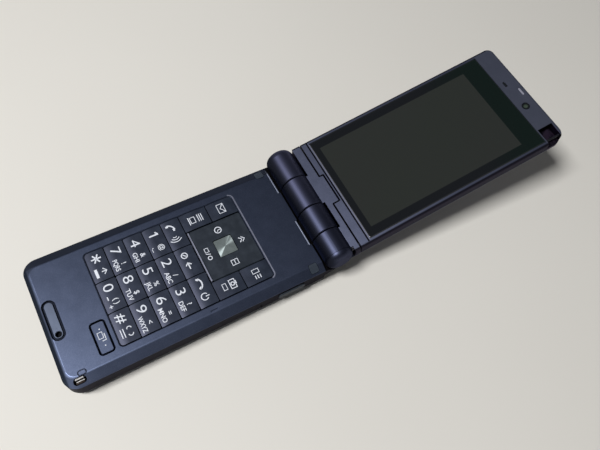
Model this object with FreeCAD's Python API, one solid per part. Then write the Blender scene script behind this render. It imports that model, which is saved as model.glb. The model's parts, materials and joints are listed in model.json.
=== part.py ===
import FreeCAD
import Part
import math
import os

# A flip phone, open as it lies on a table, in millimetres.
# X points to the phone's right, Y from the microphone end towards the hinge, Z up.
# The origin is on the underside, halfway between the microphone end and the hinge axis.
# The lid is drawn flat, in its own frame with the hinge axis at the origin, and then tilted.

Vector = FreeCAD.Vector

# Lower half
base_width = 48.6
base_length = 99.7
base_height = 10.4
wall = 1.2
floor = 1.1
face_thickness = 1.2
base_corner_radius = 5.0
bottom_radius = 3.0
chamfer_width = 3.4
chamfer_drop = 1.5
end_chamfer_width = 1.6
face_edge_radius = 1.5
parting_below_shoulder = 0.3
lip_depth = 0.8
lip_width = 1.2
snug = 0.1
end_roundness = 0.98

# Barrel and hinge
barrel_radius = 5.5
barrel_overhang = 0.9
barrel_end_radius = 2.8
barrel_gap = 0.3
barrel_to_base = 0.1
arm_gap = 0.8
opening_angle = 168.7
closed_gap = 0.4
pivot_below_screen = 1.6
shaft_radius = 1.5
running_gap = 0.05
knuckle_seams = (-11.05, 2.05, 13.15)
knuckle_gap = 0.3
knuckle_bevel = 0.25
cap_length = 3.0
cap_groove_width = 0.25
cap_groove_depth = 0.2
rear_lip_from_back = 1.05
rear_lip_width = 0.6
rear_lip_radius = 0.2
fairing_depth = 1.5
fairing_foot = 5.0
fairing_overlap = 0.8
web_overlap = 0.2
cradle_reach = 4.3
hinge_unit_radius = 3.6
unit_from_end = 2.0
shaft_from_end = 3.1
shaft_grip = 8.5
press_gap = 0.02

# Lid
lid_short_of_base = 0.8
lid_thickness = 7.0
lid_front_radius = 1.0
lid_back_radius = 2.4
lid_left_corner = 2.8
lid_right_corner = 4.0
lid_split_depth = 4.2
lid_wall = 1.3
lid_skin = 1.0
lid_cavity_set_back = 0.3
lid_cavity_corner = 1.2
swing_axis_from_edge = 2.1
swing_pin_radius = 0.9
swing_pin_reach = 3.6
seam_gap = 0.4
seam_left_past_barrel = 4.1
seam_right_past_barrel = 2.95
seam_step_x = 4.1
tab_left_x = -8.3
tab_past_seam = 1.6
tab_depth = 3.0
tab_root = 3.0
tab_under_gap = 0.3

# Screen window and what stands in the bezel over it
glass_from_side = 1.6
glass_past_barrel = 7.4
glass_from_end = 8.4
glass_thickness = 0.85
glass_set_back = 0.05
glass_corner = 0.5
glass_bevel_width = 0.4
glass_bevel_drop = 0.15
glass_ledge = 1.1
screen_from_side = 5.35
screen_past_glass_edge = 2.9
screen_from_end = 16.7
screen_border = 0.9
screen_thickness = 1.8
groove_width = 0.3
groove_depth = 0.3
groove_from_glass = 0.7
groove_from_side = 0.8
receiver_x = -0.35
receiver_from_end = 2.4
receiver_slot_size = (3.4, 0.8)
receiver_size = (6.4, 4.6)
receiver_offset = (-0.5, 1.5)
receiver_height = 1.9
receiver_corner = 0.8
front_camera_x = 6.0
front_camera_from_end = 5.0
front_camera_radius = 1.5
front_camera_size = 5.0
front_camera_height = 1.9
front_camera_corner = 0.3
front_camera_set_back = 0.1
front_camera_cone = (0.82, 0.4)
sensor_x = -6.25
sensor_from_end = 5.75
sensor_size = (2.5, 1.1)
sensor_corner = 0.2
sensor_depth = 1.0

# Behind the screen, and the small window in the outer cover
lcd_margin = 1.5
lcd_past_screen = (1.7, 2.3)
lcd_corner = 0.5
display_board_sides = (-19.0, 14.0)
display_board_start = 26.5
display_board_from_wall = 1.0
display_board_thickness = 0.8
display_board_corner = 1.0
sub_window_size = (21.0, 7.0)
sub_window_from_axis = 21.0
sub_window_corner = 1.0
sub_window_seat = 0.5
sub_window_ledge = 0.8

# Corner recess of the lid, with the flatted pin that the hook holds
recess_width = 7.2
recess_from_end = (1.5, 7.9)
recess_depth = 3.5
recess_wall = 0.8
corner_pin_radius = 0.6
corner_pin_flat = 0.6
corner_pin_overhang = (0.5, 0.8)

# Keys
keypad_from_side = 6.2
keypad_start = 20.0
row_pitch = 7.0
number_rows = 5
nav_height = 21.2
column_split = 5.95
nav_split = 10.7
keypad_corner = 1.3
opening_bevel = 0.4
key_gap = 0.36
key_corner = 0.3
key_travel = 0.3
key_lip = 0.45
dot_radius = 0.35
dot_height = 0.08
dot_offset = 0.3
dot_from_front = 1.5
key_lip_thickness = 0.35
key_crest = 2.7
key_front_drop = 0.38
key_rear_drop = 0.12
key_back_drop = 0.22
nav_top_drop = 0.15
nav_centre_width = 6.7
nav_centre_offset = 0.1
nav_centre_gap = 0.25
nav_crown_height = 0.3
nav_crown_width = 1.1
nav_corner = 0.8
nav_hole_corner = 0.5
nav_edge_bevel = 0.25
rocker_hole_gap = 0.35
nav_tilt_gap = 0.15
rocker_half = (8.0, 5.2)
rocker_thickness = 0.25
trim_width = 0.45
trim_from_keys = 0.2
trim_depth = 0.5
trim_proud = 0.05
nav_trim_inset = 0.4
multi_centre = (12.35, 15.8)
multi_size = (11.6, 4.9)
multi_gap = 0.3
multi_opening_bevel = 0.25
multi_corner = 1.1
multi_set_back = 0.05
multi_bevel = 0.2

# Sound, latch and pads on the face
mic_plate_size = (13.0, 2.7)
mic_plate_from_end = 4.05
mic_recess_gap = 0.7
mic_recess_bevel = 0.25
mic_recess_depth = 0.6
mic_set_back = 0.05
mic_hole_x = 5.2
mic_hole_radius = 0.95
mic_hole_bevel = 0.2
microphone_radius = 1.3
latch_from_end = 5.0
latch_length = 2.6
latch_slot_length = 4.2
latch_rise = 2.9
hook_wall = 0.35
hook_stem = 1.4
hook_depth = 4.3
hook_tip_height = 0.6
plunger_from_side = 4.05
plunger_from_end = 6.45
plunger_size = (1.1, 2.1)
plunger_flange = 0.2
bumper_from_side = (0.9, 4.1)
bumper_from_axis = (8.0, 11.2)
bumper_gap = 0.15
bumper_corner = 0.6
bumper_height = 0.1
bumper_seat = 0.4
slit_from_side = 4.1
slit_from_end = 51.95
slit_size = (0.5, 2.7)
slit_depth = 0.5

# Inside the lower half
board_thickness = 0.8
board_inset = 3.3
board_gap = 0.3
mat_thickness = 0.4
mat_corner = 0.8
mat_bridge_width = 6.0
dome_radius = 2.0
dome_height = 0.1
nav_dome_reach = 7.6
cover_from_side = 4.8
cover_thickness = 0.9
cover_end = 46.3
cover_gap = 0.15
thumb_size = (14.0, 6.0)
thumb_depth = 0.35
thumb_from_edge = 7.0
thumb_ribs = 3
thumb_rib_pitch = 1.5
thumb_rib_size = (8.4, 0.5)
can_sides = ((-18.0, -3.5), (-2.0, 8.0))
can_from_end = (48.5, 64.0)
can_depth = 2.6
can_wall = 0.25
can_corner = 0.8
can_edge_radius = 0.5
battery_size = (36.0, 35.4, 4.6)
battery_corner = 1.0
battery_seat_gap = 0.2
battery_from_end = 9.4
battery_gap = 0.3
bay_wall = 0.8
bay_height = 5.0
screw_from_side = 3.7
screw_from_mic_end = 49.8
screw_from_axis = 11.7
screw_radius = 0.7
screw_head_radius = 1.3
screw_head_height = 0.8
screw_tip_gap = 0.4
boss_radius = 1.9
stud_radius = 1.5
camera_x = -12.0
camera_from_axis = 17.2
camera_window_radius = 4.2
camera_window_thickness = 0.8
camera_window_ledge = 1.0
camera_lens_gap = 0.2
camera_corner = 0.5
camera_size = 8.5
camera_seat = 0.8
speaker_centre_x = 12.75
speaker_from_axis = 21.95
speaker_size = 12.5
speaker_height = 3.0
speaker_corner = 1.2
speaker_magnet_radius = 4.2
speaker_magnet_height = 0.8
speaker_slot_count = 5
speaker_slot_width = 0.8
speaker_slot_margin = 2.0
motor_radius = 2.2
motor_length = 9.0
motor_x = -12.0
motor_from_axis = 28.7
connector_size = (11.0, 6.5, 2.4)
connector_set_back = 0.6
connector_wall = 0.4
tongue_thickness = 0.5
tongue_gap = 0.7
side_cover_from_axis = (32.0, 46.2)
side_cover_heights = (1.4, 5.4)
side_cover_depth = 1.55
side_cover_swing_gap = 0.4
side_cover_gap = 0.15
side_cover_back_gap = 0.2
side_cover_rim = 1.1
side_cover_rebate = 0.7
card_socket_size = (12.0, 12.2, 2.2)
card_socket_wall = 0.6
card_slot_height = 1.0
card_foot_width = 4.0
card_foot_height = 1.2
side_key_from_axis = (14.1, 24.9)
side_key_heights = (4.0, 7.0)
side_key_proud = 0.45
side_key_gap = 0.12
side_key_edge_radius = 0.3
side_key_back_gap = 0.3
side_key_flange = 0.6
side_key_flange_width = 0.4

# Worked out from the sizes above
half_width = base_width / 2
mic_end = -base_length / 2
hinge_y = base_length / 2
hinge_z = base_height + closed_gap + pivot_below_screen
base_to_axis = barrel_radius + barrel_to_base
base_back = hinge_y - base_to_axis
barrel_half_length = half_width + barrel_overhang
shoulder_z = base_height - chamfer_drop
parting_z = shoulder_z - parting_below_shoulder
face_under = base_height - face_thickness
flat_half_width = half_width - chamfer_width
swing_x = half_width - swing_axis_from_edge
keypad_half_width = half_width - keypad_from_side
screw_x = half_width - screw_from_side
cover_half_width = half_width - cover_from_side
camera_y = hinge_y - camera_from_axis
lid_length = base_length - lid_short_of_base
lid_front = pivot_below_screen
lid_back = lid_front - lid_thickness
lid_split = lid_front - lid_split_depth
seam_left = barrel_radius + seam_left_past_barrel
seam_right = barrel_radius + seam_right_past_barrel
tab_end = seam_left + tab_past_seam
glass_half_width = half_width - glass_from_side
glass_start = barrel_radius + glass_past_barrel
glass_end = lid_length - glass_from_end
screen_half_width = half_width - screen_from_side
screen_start = glass_start + screen_past_glass_edge
screen_end = lid_length - screen_from_end
recess_end = lid_length - recess_from_end[0]
recess_start = lid_length - recess_from_end[1]
key_bottom = face_under - running_gap - key_lip_thickness
mat_top = key_bottom - key_travel - running_gap
board_top = mat_top - mat_thickness - dome_height
board_bottom = board_top - board_thickness
keypad_end = keypad_start + number_rows * row_pitch + nav_height
nav_start = keypad_start + number_rows * row_pitch
bay_roof = cover_thickness + snug + bay_height + bay_wall


def along(distance):
    """Y of a place given by its distance from the microphone end."""
    return mic_end + distance


def rectangle(x0, x1, y0, y1):
    return [(x0, y0), (x1, y0), (x1, y1), (x0, y1)]


def outline(points, radii, z=0.0):
    """Closed wire through right-angled corners, each rounded by its own radius."""
    corners = [Vector(x, y, z) for x, y in points]
    count = len(corners)
    turns = []
    for i, corner in enumerate(corners):
        back = (corners[i - 1] - corner).normalize()
        ahead = (corners[(i + 1) % count] - corner).normalize()
        radius = radii[i]
        start = corner + back * radius
        middle = corner + (back + ahead) * radius * (1 - math.sqrt(0.5))
        end = corner + ahead * radius
        turns.append((start, middle, end, radius))
    edges = []
    for i, (start, middle, end, radius) in enumerate(turns):
        if radius > 0:
            edges.append(Part.Arc(start, middle, end).toShape())
        following = turns[(i + 1) % count][0]
        if end.distanceToPoint(following) > 1e-6:
            edges.append(Part.LineSegment(end, following).toShape())
    return Part.Wire(edges)


def prism(points, radii, z0, z1):
    face = Part.Face(outline(points, radii, z0))
    return face.extrude(Vector(0, 0, z1 - z0))


def plate(x0, x1, y0, y1, z0, z1, radius=0.0):
    """Upright block; the radius is one number, or one for each corner from x0, y0 round."""
    radii = radius if isinstance(radius, tuple) else (radius,) * 4
    return prism(rectangle(x0, x1, y0, y1), radii, z0, z1)


def centred_plate(centre, size, z0, z1, radius=0.0):
    x, y = centre
    dx, dy = size[0] / 2, size[1] / 2
    return plate(x - dx, x + dx, y - dy, y + dy, z0, z1, radius)


def layer(z0, z1):
    """Everything between two heights."""
    return plate(-base_length, base_length, -base_length, base_length, z0, z1)


def oblong(centre, size, z0, z1):
    """Plate with round ends."""
    return centred_plate(centre, size, z0, z1, min(size) / 2 * end_roundness)


def rod(radius, start, end):
    direction = end - start
    return Part.makeCylinder(radius, direction.Length, start, direction)


def x_rod(radius, x0, x1, y=0.0, z=0.0):
    return rod(radius, Vector(x0, y, z), Vector(x1, y, z))


def y_rod(radius, x, y0, y1, z):
    return rod(radius, Vector(x, y0, z), Vector(x, y1, z))


def z_rod(radius, x, y, z0, z1):
    return rod(radius, Vector(x, y, z0), Vector(x, y, z1))


def side_profile(points, x0, x1):
    """Straight-edged profile in the Y and Z plane, extruded along X."""
    corners = [Vector(x0, y, z) for y, z in points]
    face = Part.Face(Part.makePolygon(corners + corners[:1]))
    return face.extrude(Vector(x1 - x0, 0, 0))


def edges_where(shape, test):
    return [edge for edge in shape.Edges if test(edge.BoundBox)]


def join(*shapes):
    whole = shapes[0]
    for shape in shapes[1:]:
        whole = whole.fuse(shape)
    return whole.removeSplitter()


def cut(shape, *tools):
    for tool in tools:
        shape = shape.cut(tool)
    return shape


# Outer form of the lower half, shared by its two shells and its covers


def tub(inset, z0, z1):
    """The lower half's plan drawn in by an inset, with its rounded lower edges."""
    radius = base_corner_radius - inset
    radii = (radius, radius, 0, 0)
    x = half_width - inset
    block = plate(-x, x, mic_end + inset, base_back - inset, z0, z1, radii)
    back = base_back - inset - 0.01
    lower = edges_where(block, lambda box: box.ZMax < z0 + 0.01 and box.YMin < back)
    return block.makeFillet(bottom_radius - inset, lower)


def heel():
    """What the rounded rear lower edge takes away."""
    y = base_back - bottom_radius
    block = plate(-half_width - 1, half_width + 1, y, base_back + 1, -1, bottom_radius)
    return block.cut(x_rod(bottom_radius, -half_width - 2, half_width + 2, y, bottom_radius))


def base_body():
    lower = cut(tub(0.0, 0.0, shoulder_z), heel())
    radii = (base_corner_radius, base_corner_radius, 0, 0)
    top_radius = base_corner_radius - end_chamfer_width
    foot = outline(rectangle(-half_width, half_width, mic_end, base_back), radii, shoulder_z)
    x = flat_half_width
    top_points = rectangle(-x, x, mic_end + end_chamfer_width, base_back)
    top = outline(top_points, (top_radius, top_radius, 0, 0), base_height)
    crown = Part.makeLoft([foot, top], True, True)
    back = base_back - 0.01
    rim = edges_where(crown, lambda box: box.ZMin > base_height - 0.01 and box.YMin < back)
    return join(lower, crown.makeFillet(face_edge_radius, rim))


def inset_plate(inset, z0, z1):
    radius = base_corner_radius - inset
    x = half_width - inset
    return plate(-x, x, mic_end + inset, base_back - inset, z0, z1, (radius, radius, 0, 0))


# Barrel


def barrel_slice(x0, x1):
    """Part of the round-ended barrel between two planes, in the lid's frame."""
    barrel = x_rod(barrel_radius, -barrel_half_length, barrel_half_length)
    ends = edges_where(barrel, lambda box: box.XLength < 0.01)
    barrel = barrel.makeFillet(barrel_end_radius, ends)
    reach = barrel_radius + 1
    piece = barrel.common(plate(x0, x1, -reach, reach, -reach, reach))
    flat = edges_where(piece, lambda box: box.XLength < 0.01 and abs(box.XMin) < flat_end_limit())
    return piece.makeChamfer(knuckle_bevel, flat)


def flat_end_limit():
    """Sideways reach of the barrel's straight part, where its edges take the small bevel."""
    return barrel_half_length - barrel_end_radius - 0.01


def knuckle_spans():
    """The four knuckles from left to right, with the running gap between them."""
    seams = list(knuckle_seams)
    starts = [-barrel_half_length] + [seam + knuckle_gap / 2 for seam in seams]
    ends = [seam - knuckle_gap / 2 for seam in seams] + [barrel_half_length]
    return list(zip(starts, ends))


# Lower half


def screw_places():
    rows = (along(screw_from_mic_end), hinge_y - screw_from_axis)
    return [(side * screw_x, y) for side in (-1, 1) for y in rows]


def case_screws():
    screws = []
    for x, y in screw_places():
        head = z_rod(screw_head_radius, x, y, snug, snug + screw_head_height)
        shank = z_rod(screw_radius, x, y, snug + screw_head_height, face_under - screw_tip_gap)
        screws.append(join(head, shank))
    return Part.makeCompound(screws)


def battery_bay(grow):
    x = battery_size[0] / 2 + battery_gap + grow
    y0 = along(battery_from_end) - battery_gap - grow
    y1 = along(battery_from_end) + battery_size[1] + battery_gap + grow
    return x, y0, y1


def cover_space(gap):
    x = cover_half_width + gap
    return plate(-x, x, mic_end - 1, along(cover_end) + gap, -1, cover_thickness + min(gap, snug))


def rear_lip_box(x0, x1, gap):
    """Where a fairing's lip stands in the rear edge of the face, or its notch there."""
    front = base_back - rear_lip_from_back - gap
    back = base_back - rear_lip_from_back + rear_lip_width if gap == 0 else base_back + 1
    return plate(x0 - gap, x1 + gap, front, back, parting_z, base_height + 1)


def rear_lip(x0, x1):
    """Lip that follows the case's outline, rounded where it shows."""
    lip = base_body().common(rear_lip_box(x0, x1, 0.0))
    rim = edges_where(lip, lambda box: box.ZMin > base_height - 0.01 and box.YLength < 0.01)
    return lip.makeFillet(rear_lip_radius, rim)


def base_knuckle(span, fairing_x0):
    """Knuckle with the fairing that ties it to the rear wall."""
    x0, x1 = span
    front = base_back - rear_lip_from_back + rear_lip_width / 2
    top = base_height - fairing_depth
    seam = parting_z - fairing_overlap
    points = [(front, seam), (front, top), (hinge_y, top), (hinge_y, hinge_z - barrel_radius),
              (base_back, fairing_foot), (base_back, seam)]
    fairing = side_profile(points, fairing_x0, x1)
    barrel = barrel_slice(x0, x1)
    barrel.translate(Vector(0, hinge_y, hinge_z))
    return join(barrel, fairing, rear_lip(fairing_x0, x1))


def cradle():
    """Hollow lip of the rear wall that reaches under the arm's knuckles and closes the gap."""
    back = -base_to_axis
    seam = parting_z - hinge_z
    foot = fairing_foot - hinge_z
    drop = (foot + barrel_radius) * (1 - cradle_reach / base_to_axis)
    tip = -base_to_axis + cradle_reach
    points = [(back, seam), (tip, seam), (tip, drop - barrel_radius), (back, foot)]
    lip = side_profile(points, -half_width, half_width)
    lip = lip.cut(x_rod(barrel_radius + barrel_gap, -base_width, base_width))
    lip.translate(Vector(0, hinge_y, hinge_z))
    return lip


def side_cover_box(gap, end_gap, depth):
    near, far = side_cover_from_axis
    y0 = hinge_y - far - gap
    y1 = hinge_y - near + end_gap
    z0, z1 = side_cover_heights
    return plate(half_width - depth, half_width + 1, y0, y1, z0 - gap, z1 + gap)


def side_key_prism(x0, x1, grow):
    """Round-ended bar in the right wall, extruded along X."""
    near, far = side_key_from_axis
    z0, z1 = side_key_heights
    radius = (z1 - z0) / 2 + grow
    bar = plate(hinge_y - far - grow, hinge_y - near + grow, z0 - grow, z1 + grow, 0, x1 - x0,
                radius * 0.98)
    bar.Placement = FreeCAD.Placement(Vector(x0, 0, 0), FreeCAD.Rotation(Vector(1, 1, 1), 120))
    return bar


def latch_channel(z0, z1):
    """Slot with round ends in the corner, from z0 to z1."""
    width = 2 * (corner_pin_radius + snug + hook_wall + running_gap)
    size = (width, latch_slot_length)
    return oblong((swing_x, along(latch_from_end)), size, z0, z1)


def speaker_slots():
    size = (speaker_size - 2 * speaker_slot_margin, speaker_slot_width)
    front = hinge_y - speaker_from_axis - speaker_size / 2
    slots = []
    for i in range(speaker_slot_count):
        y = front + speaker_size * (i + 1) / (speaker_slot_count + 1)
        slots.append(oblong((speaker_centre_x, y), size, -1, floor + 1))
    return slots


def rear_case():
    body = base_body().common(layer(-1, parting_z))
    inside = cut(tub(wall, floor, parting_z + 1), heel())
    shelf = cover_thickness + snug + bay_wall
    x_shelf = cover_half_width + cover_gap + bay_wall
    kept = plate(-x_shelf, x_shelf, mic_end, along(cover_end) + cover_gap + bay_wall, 0, shelf)
    x, y0, y1 = battery_bay(bay_wall)
    kept = kept.fuse(plate(-x, x, y0, y1, 0, bay_roof))
    for sx, sy in screw_places():
        kept = kept.fuse(z_rod(boss_radius, sx, sy, 0, board_bottom - snug))
    ring = camera_window_radius + camera_window_ledge
    kept = kept.fuse(z_rod(ring, camera_x, camera_y, 0, floor + camera_seat))
    rim = side_cover_rim
    frame = side_cover_box(rim, rim + side_cover_swing_gap, side_cover_depth + wall)
    kept = kept.fuse(frame.common(body))
    case = body.cut(inside.cut(kept))
    x, y0, y1 = battery_bay(0.0)
    case = cut(case, cover_space(cover_gap), plate(-x, x, y0, y1, 0, bay_roof - bay_wall))
    for sx, sy in screw_places():
        case = cut(case, z_rod(screw_radius + running_gap, sx, sy, -1, parting_z))
        case = cut(case, z_rod(screw_head_radius + snug, sx, sy, -1, snug + screw_head_height))
    window_z = camera_window_thickness + snug
    case = cut(case, z_rod(camera_window_radius + snug, camera_x, camera_y, -1, window_z))
    lens_hole = camera_window_radius - camera_window_ledge
    case = cut(case, z_rod(lens_hole, camera_x, camera_y, -1, floor + camera_seat + 1))
    case = cut(case, *speaker_slots())
    width, depth, height = connector_size
    mouth = plate(-width / 2, width / 2, mic_end - 1, mic_end + wall + 1,
                  board_bottom - height, board_bottom, 0.0)
    case = cut(case, mouth)
    depth = side_cover_depth + side_cover_back_gap
    case = cut(case, side_cover_box(side_cover_gap, side_cover_swing_gap, depth))
    rebate = -side_cover_rebate
    case = cut(case, side_cover_box(rebate, rebate, side_cover_depth + wall + 1))
    case = cut(case, side_key_prism(half_width - wall - 2, half_width + 2, side_key_gap))
    case = cut(case, latch_channel(shoulder_z - hook_depth - 1, parting_z + 1))
    spans = knuckle_spans()
    left = base_knuckle(spans[0], -half_width)
    right = base_knuckle(spans[2], spans[2][0])
    case = join(case, cradle(), left, right)
    unit = x_rod(hinge_unit_radius, spans[0][0] + unit_from_end, spans[0][1] + 1, hinge_y, hinge_z)
    bore = x_rod(shaft_radius + running_gap, spans[2][0] - 1, spans[2][1] + 1, hinge_y, hinge_z)
    return cut(case, unit, bore)


def key_opening(x0, x1, y0, y1, corner):
    return plate(x0, x1, y0, y1, face_under - 1, base_height + 1, corner)


def bumper(side, grow=0.0):
    """Pad that follows the sloping shoulder, sunk into it and a little proud of it."""
    outer, inner = bumper_from_side
    x0, x1 = sorted((side * (half_width - inner), side * (half_width - outer)))
    near, far = bumper_from_axis
    raised = base_body()
    raised.translate(Vector(0, 0, bumper_height))
    sunk = base_body()
    sunk.translate(Vector(0, 0, -bumper_seat))
    block = plate(x0 - grow, x1 + grow, hinge_y - far - grow, hinge_y - near + grow,
                  shoulder_z - 1, base_height + 1, bumper_corner + grow)
    return block.common(raised).cut(sunk)


def trim_ring(z0, z1):
    """Strip round the rear end of the keypad opening."""
    x = keypad_half_width + trim_from_keys
    y1 = along(keypad_end) + trim_from_keys
    radius = keypad_corner + trim_from_keys
    outer = plate(-x - trim_width, x + trim_width, y1 - base_width, y1 + trim_width, z0, z1,
                  radius + trim_width)
    inner = plate(-x, x, y1 - base_width, y1, z0 - 1, z1 + 1, radius)
    front = plate(-base_width, base_width, mic_end, y1 - keypad_corner, z0 - 1, z1 + 1)
    return cut(outer, inner, front)


def keypad_trim():
    strip = trim_ring(base_height - trim_depth, base_height + trim_proud)
    y0 = along(nav_start + nav_trim_inset)
    x = nav_split - nav_trim_inset
    bar = plate(-x, x, y0, y0 + trim_width, mat_top, base_height - trim_proud)
    return Part.makeCompound([strip, bar])


def mic_shape(grow, z0, z1):
    width, depth = mic_plate_size
    size = (width + 2 * grow, depth + 2 * grow)
    return oblong((0, along(mic_plate_from_end)), size, z0, z1)


def plunger_shape(grow, z0, z1):
    size = (plunger_size[0] + 2 * grow, plunger_size[1] + 2 * grow)
    centre = (half_width - plunger_from_side, along(plunger_from_end))
    return oblong(centre, size, z0, z1)


def multi_box(shrink, z0, z1, corner):
    centre = (multi_centre[0], along(multi_centre[1]))
    size = (multi_size[0] - 2 * shrink, multi_size[1] - 2 * shrink)
    return centred_plate(centre, size, z0, z1, corner)


def bevelled_opening(case, opening, bevel):
    """Cuts an opening into the face and bevels its upper edge."""
    case = cut(case, opening)
    bounds = opening.BoundBox
    bounds.enlarge(0.01)
    rim = edges_where(case, lambda box: box.ZMin > base_height - 0.01 and bounds.isInside(box))
    return case.makeChamfer(bevel, rim)


def keypad_case():
    case = base_body().common(layer(parting_z, base_height + 1))
    lip = inset_plate(wall + snug, parting_z - lip_depth, parting_z)
    case = join(case, lip)
    case = cut(case, inset_plate(wall + snug + lip_width, parting_z - lip_depth, face_under))
    for sx, sy in screw_places():
        case = join(case, z_rod(stud_radius, sx, sy, board_bottom, face_under))
        case = cut(case, z_rod(screw_radius, sx, sy, board_bottom - 1, face_under - screw_tip_gap))
    x = keypad_half_width
    keypad = key_opening(-x, x, along(keypad_start), along(keypad_end), keypad_corner)
    case = bevelled_opening(case, keypad, opening_bevel)
    multi = multi_box(0.0, face_under - 1, base_height + 1, multi_corner)
    case = bevelled_opening(case, multi, multi_opening_bevel)
    recess = mic_shape(mic_recess_gap, base_height - mic_recess_depth, base_height + 1)
    case = bevelled_opening(case, recess, mic_recess_bevel)
    hole_y = along(mic_plate_from_end)
    case = cut(case, z_rod(mic_hole_radius, mic_hole_x, hole_y, face_under - 1, base_height))
    case = cut(case, latch_channel(parting_z - lip_depth - 1, base_height + 1))
    case = cut(case, plunger_shape(running_gap, face_under - 1, base_height + 1))
    case = cut(case, trim_ring(base_height - trim_depth, base_height + 1))
    case = cut(case, bumper(-1, bumper_gap), bumper(1, bumper_gap))
    spans = knuckle_spans()
    case = cut(case, rear_lip_box(-half_width - 1, spans[0][1], snug))
    case = cut(case, rear_lip_box(spans[2][0], spans[2][1], snug))
    slit_centre = (half_width - slit_from_side, along(slit_from_end))
    return cut(case, centred_plate(slit_centre, slit_size, base_height - slit_depth, base_height + 1))


def mic_plate():
    """Plate with a bevelled sound hole."""
    top = base_height - mic_set_back
    shape = mic_shape(0.0, base_height - mic_recess_depth, top)
    y = along(mic_plate_from_end)
    shape = shape.cut(z_rod(mic_hole_radius, mic_hole_x, y, base_height - 1, base_height + 1))
    width = 2 * mic_hole_radius
    rim = edges_where(shape, lambda box: box.ZMin > top - 0.01 and abs(box.XLength - width) < 0.01)
    return shape.makeChamfer(mic_hole_bevel, rim)


def battery_cover():
    """Sliding cover with a shallow thumb recess, crossed by ribs."""
    cover = base_body().common(cover_space(0.0))
    y = along(cover_end - thumb_from_edge)
    recess = oblong((0, y), thumb_size, -1, thumb_depth)
    for i in range(thumb_ribs):
        rib_y = y + (i - (thumb_ribs - 1) / 2) * thumb_rib_pitch
        recess = recess.cut(centred_plate((0, rib_y), thumb_rib_size, -1, 1))
    return cover.cut(recess)


def battery_pack():
    dx, dy, dz = battery_size
    z0 = cover_thickness + snug + battery_seat_gap
    y0 = along(battery_from_end)
    cell = plate(-dx / 2, dx / 2, y0, y0 + dy, z0, z0 + dz)
    upright = edges_where(cell, lambda box: box.ZLength > dz / 2)
    return cell.makeFillet(battery_corner, upright)


def main_board():
    board = inset_plate(board_inset, board_bottom, board_top)
    for sx, sy in screw_places():
        board = board.cut(z_rod(boss_radius + board_gap, sx, sy, board_bottom - 1, board_top + 1))
    latch = latch_channel(board_bottom - 1, board_top + 1)
    board = board.cut(latch)
    domes = [z_rod(dome_radius, x, y, board_top, board_top + dome_height) for x, y in dome_places()]
    return join(board, *domes)


def dome_places():
    """One dome under the middle of each key, and five under the navigation key."""
    middle = along((nav_start + keypad_end) / 2)
    places = [(0, middle)]
    for dx, dy in ((1, 0), (0, 1), (-1, 0), (0, -1)):
        places.append((dx * nav_dome_reach, middle + dy * nav_dome_reach))
    places.append((multi_centre[0], along(multi_centre[1])))
    for x0, x1, y0, y1 in list(number_cells().values()) + list(soft_cells().values()):
        places.append(((x0 + x1) / 2, (y0 + y1) / 2))
    return places


def key_mat():
    x = keypad_half_width + key_lip
    y0 = along(keypad_start) - key_lip
    y1 = along(keypad_end) + key_lip
    mat = plate(-x, x, y0, y1, mat_top - mat_thickness, mat_top, mat_corner)
    tongue = multi_box(-key_lip, mat_top - mat_thickness, mat_top, mat_corner)
    centre_x = multi_centre[0]
    half = mat_bridge_width / 2
    bridge = plate(centre_x - half, centre_x + half, along(multi_centre[1]), y0 + mat_corner,
                   mat_top - mat_thickness, mat_top)
    return join(mat, tongue, bridge)


def shield_cans():
    """Drawn steel cans soldered under the board."""
    y0, y1 = along(can_from_end[0]), along(can_from_end[1])
    z0 = board_bottom - can_depth
    cans = []
    for x0, x1 in can_sides:
        can = plate(x0, x1, y0, y1, z0, board_bottom, can_corner)
        lower = edges_where(can, lambda box: box.ZMax < z0 + 0.01)
        can = can.makeFillet(can_edge_radius, lower)
        inner = plate(x0 + can_wall, x1 - can_wall, y0 + can_wall, y1 - can_wall,
                      z0 + can_wall, board_bottom, can_corner - can_wall)
        cans.append(can.cut(inner))
    return Part.makeCompound(cans)


def microphone():
    y = along(mic_plate_from_end)
    return z_rod(microphone_radius, mic_hole_x, y, board_top, face_under - snug)


def loudspeaker():
    x, y = speaker_centre_x, hinge_y - speaker_from_axis
    top = floor + speaker_height
    body = centred_plate((x, y), (speaker_size, speaker_size), floor, top, speaker_corner)
    magnet = z_rod(speaker_magnet_radius, x, y, top, top + speaker_magnet_height)
    return join(body, magnet)


def vibration_motor():
    z = floor + motor_radius
    half = motor_length / 2
    return x_rod(motor_radius, motor_x - half, motor_x + half, hinge_y - motor_from_axis, z)


def camera_module():
    seat = floor + camera_seat
    size = (camera_size, camera_size)
    body = centred_plate((camera_x, camera_y), size, seat, board_bottom, camera_corner)
    lens_z = snug + camera_window_thickness + camera_lens_gap
    radius = camera_window_radius - camera_window_ledge - snug
    lens = z_rod(radius, camera_x, camera_y, lens_z, seat)
    return join(body, lens)


def camera_window():
    return z_rod(camera_window_radius, camera_x, camera_y, snug, snug + camera_window_thickness)


def connector_socket():
    """Shell with the tongue that carries the contacts."""
    width, depth, height = connector_size
    z0, z1 = board_bottom - height, board_bottom
    x = width / 2
    y0 = mic_end + connector_set_back
    y1 = y0 + depth
    shell = plate(-x, x, y0, y1, z0, z1)
    thin = connector_wall
    hollow = plate(-x + thin, x - thin, y0 - 1, y1 - thin, z0 + thin, z1 - thin)
    middle = (z0 + z1) / 2
    half = tongue_thickness / 2
    inset = thin + tongue_gap
    tongue = plate(-x + inset, x - inset, y0 + tongue_gap, y1 - thin, middle - half, middle + half)
    return join(shell.cut(hollow), tongue)


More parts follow.
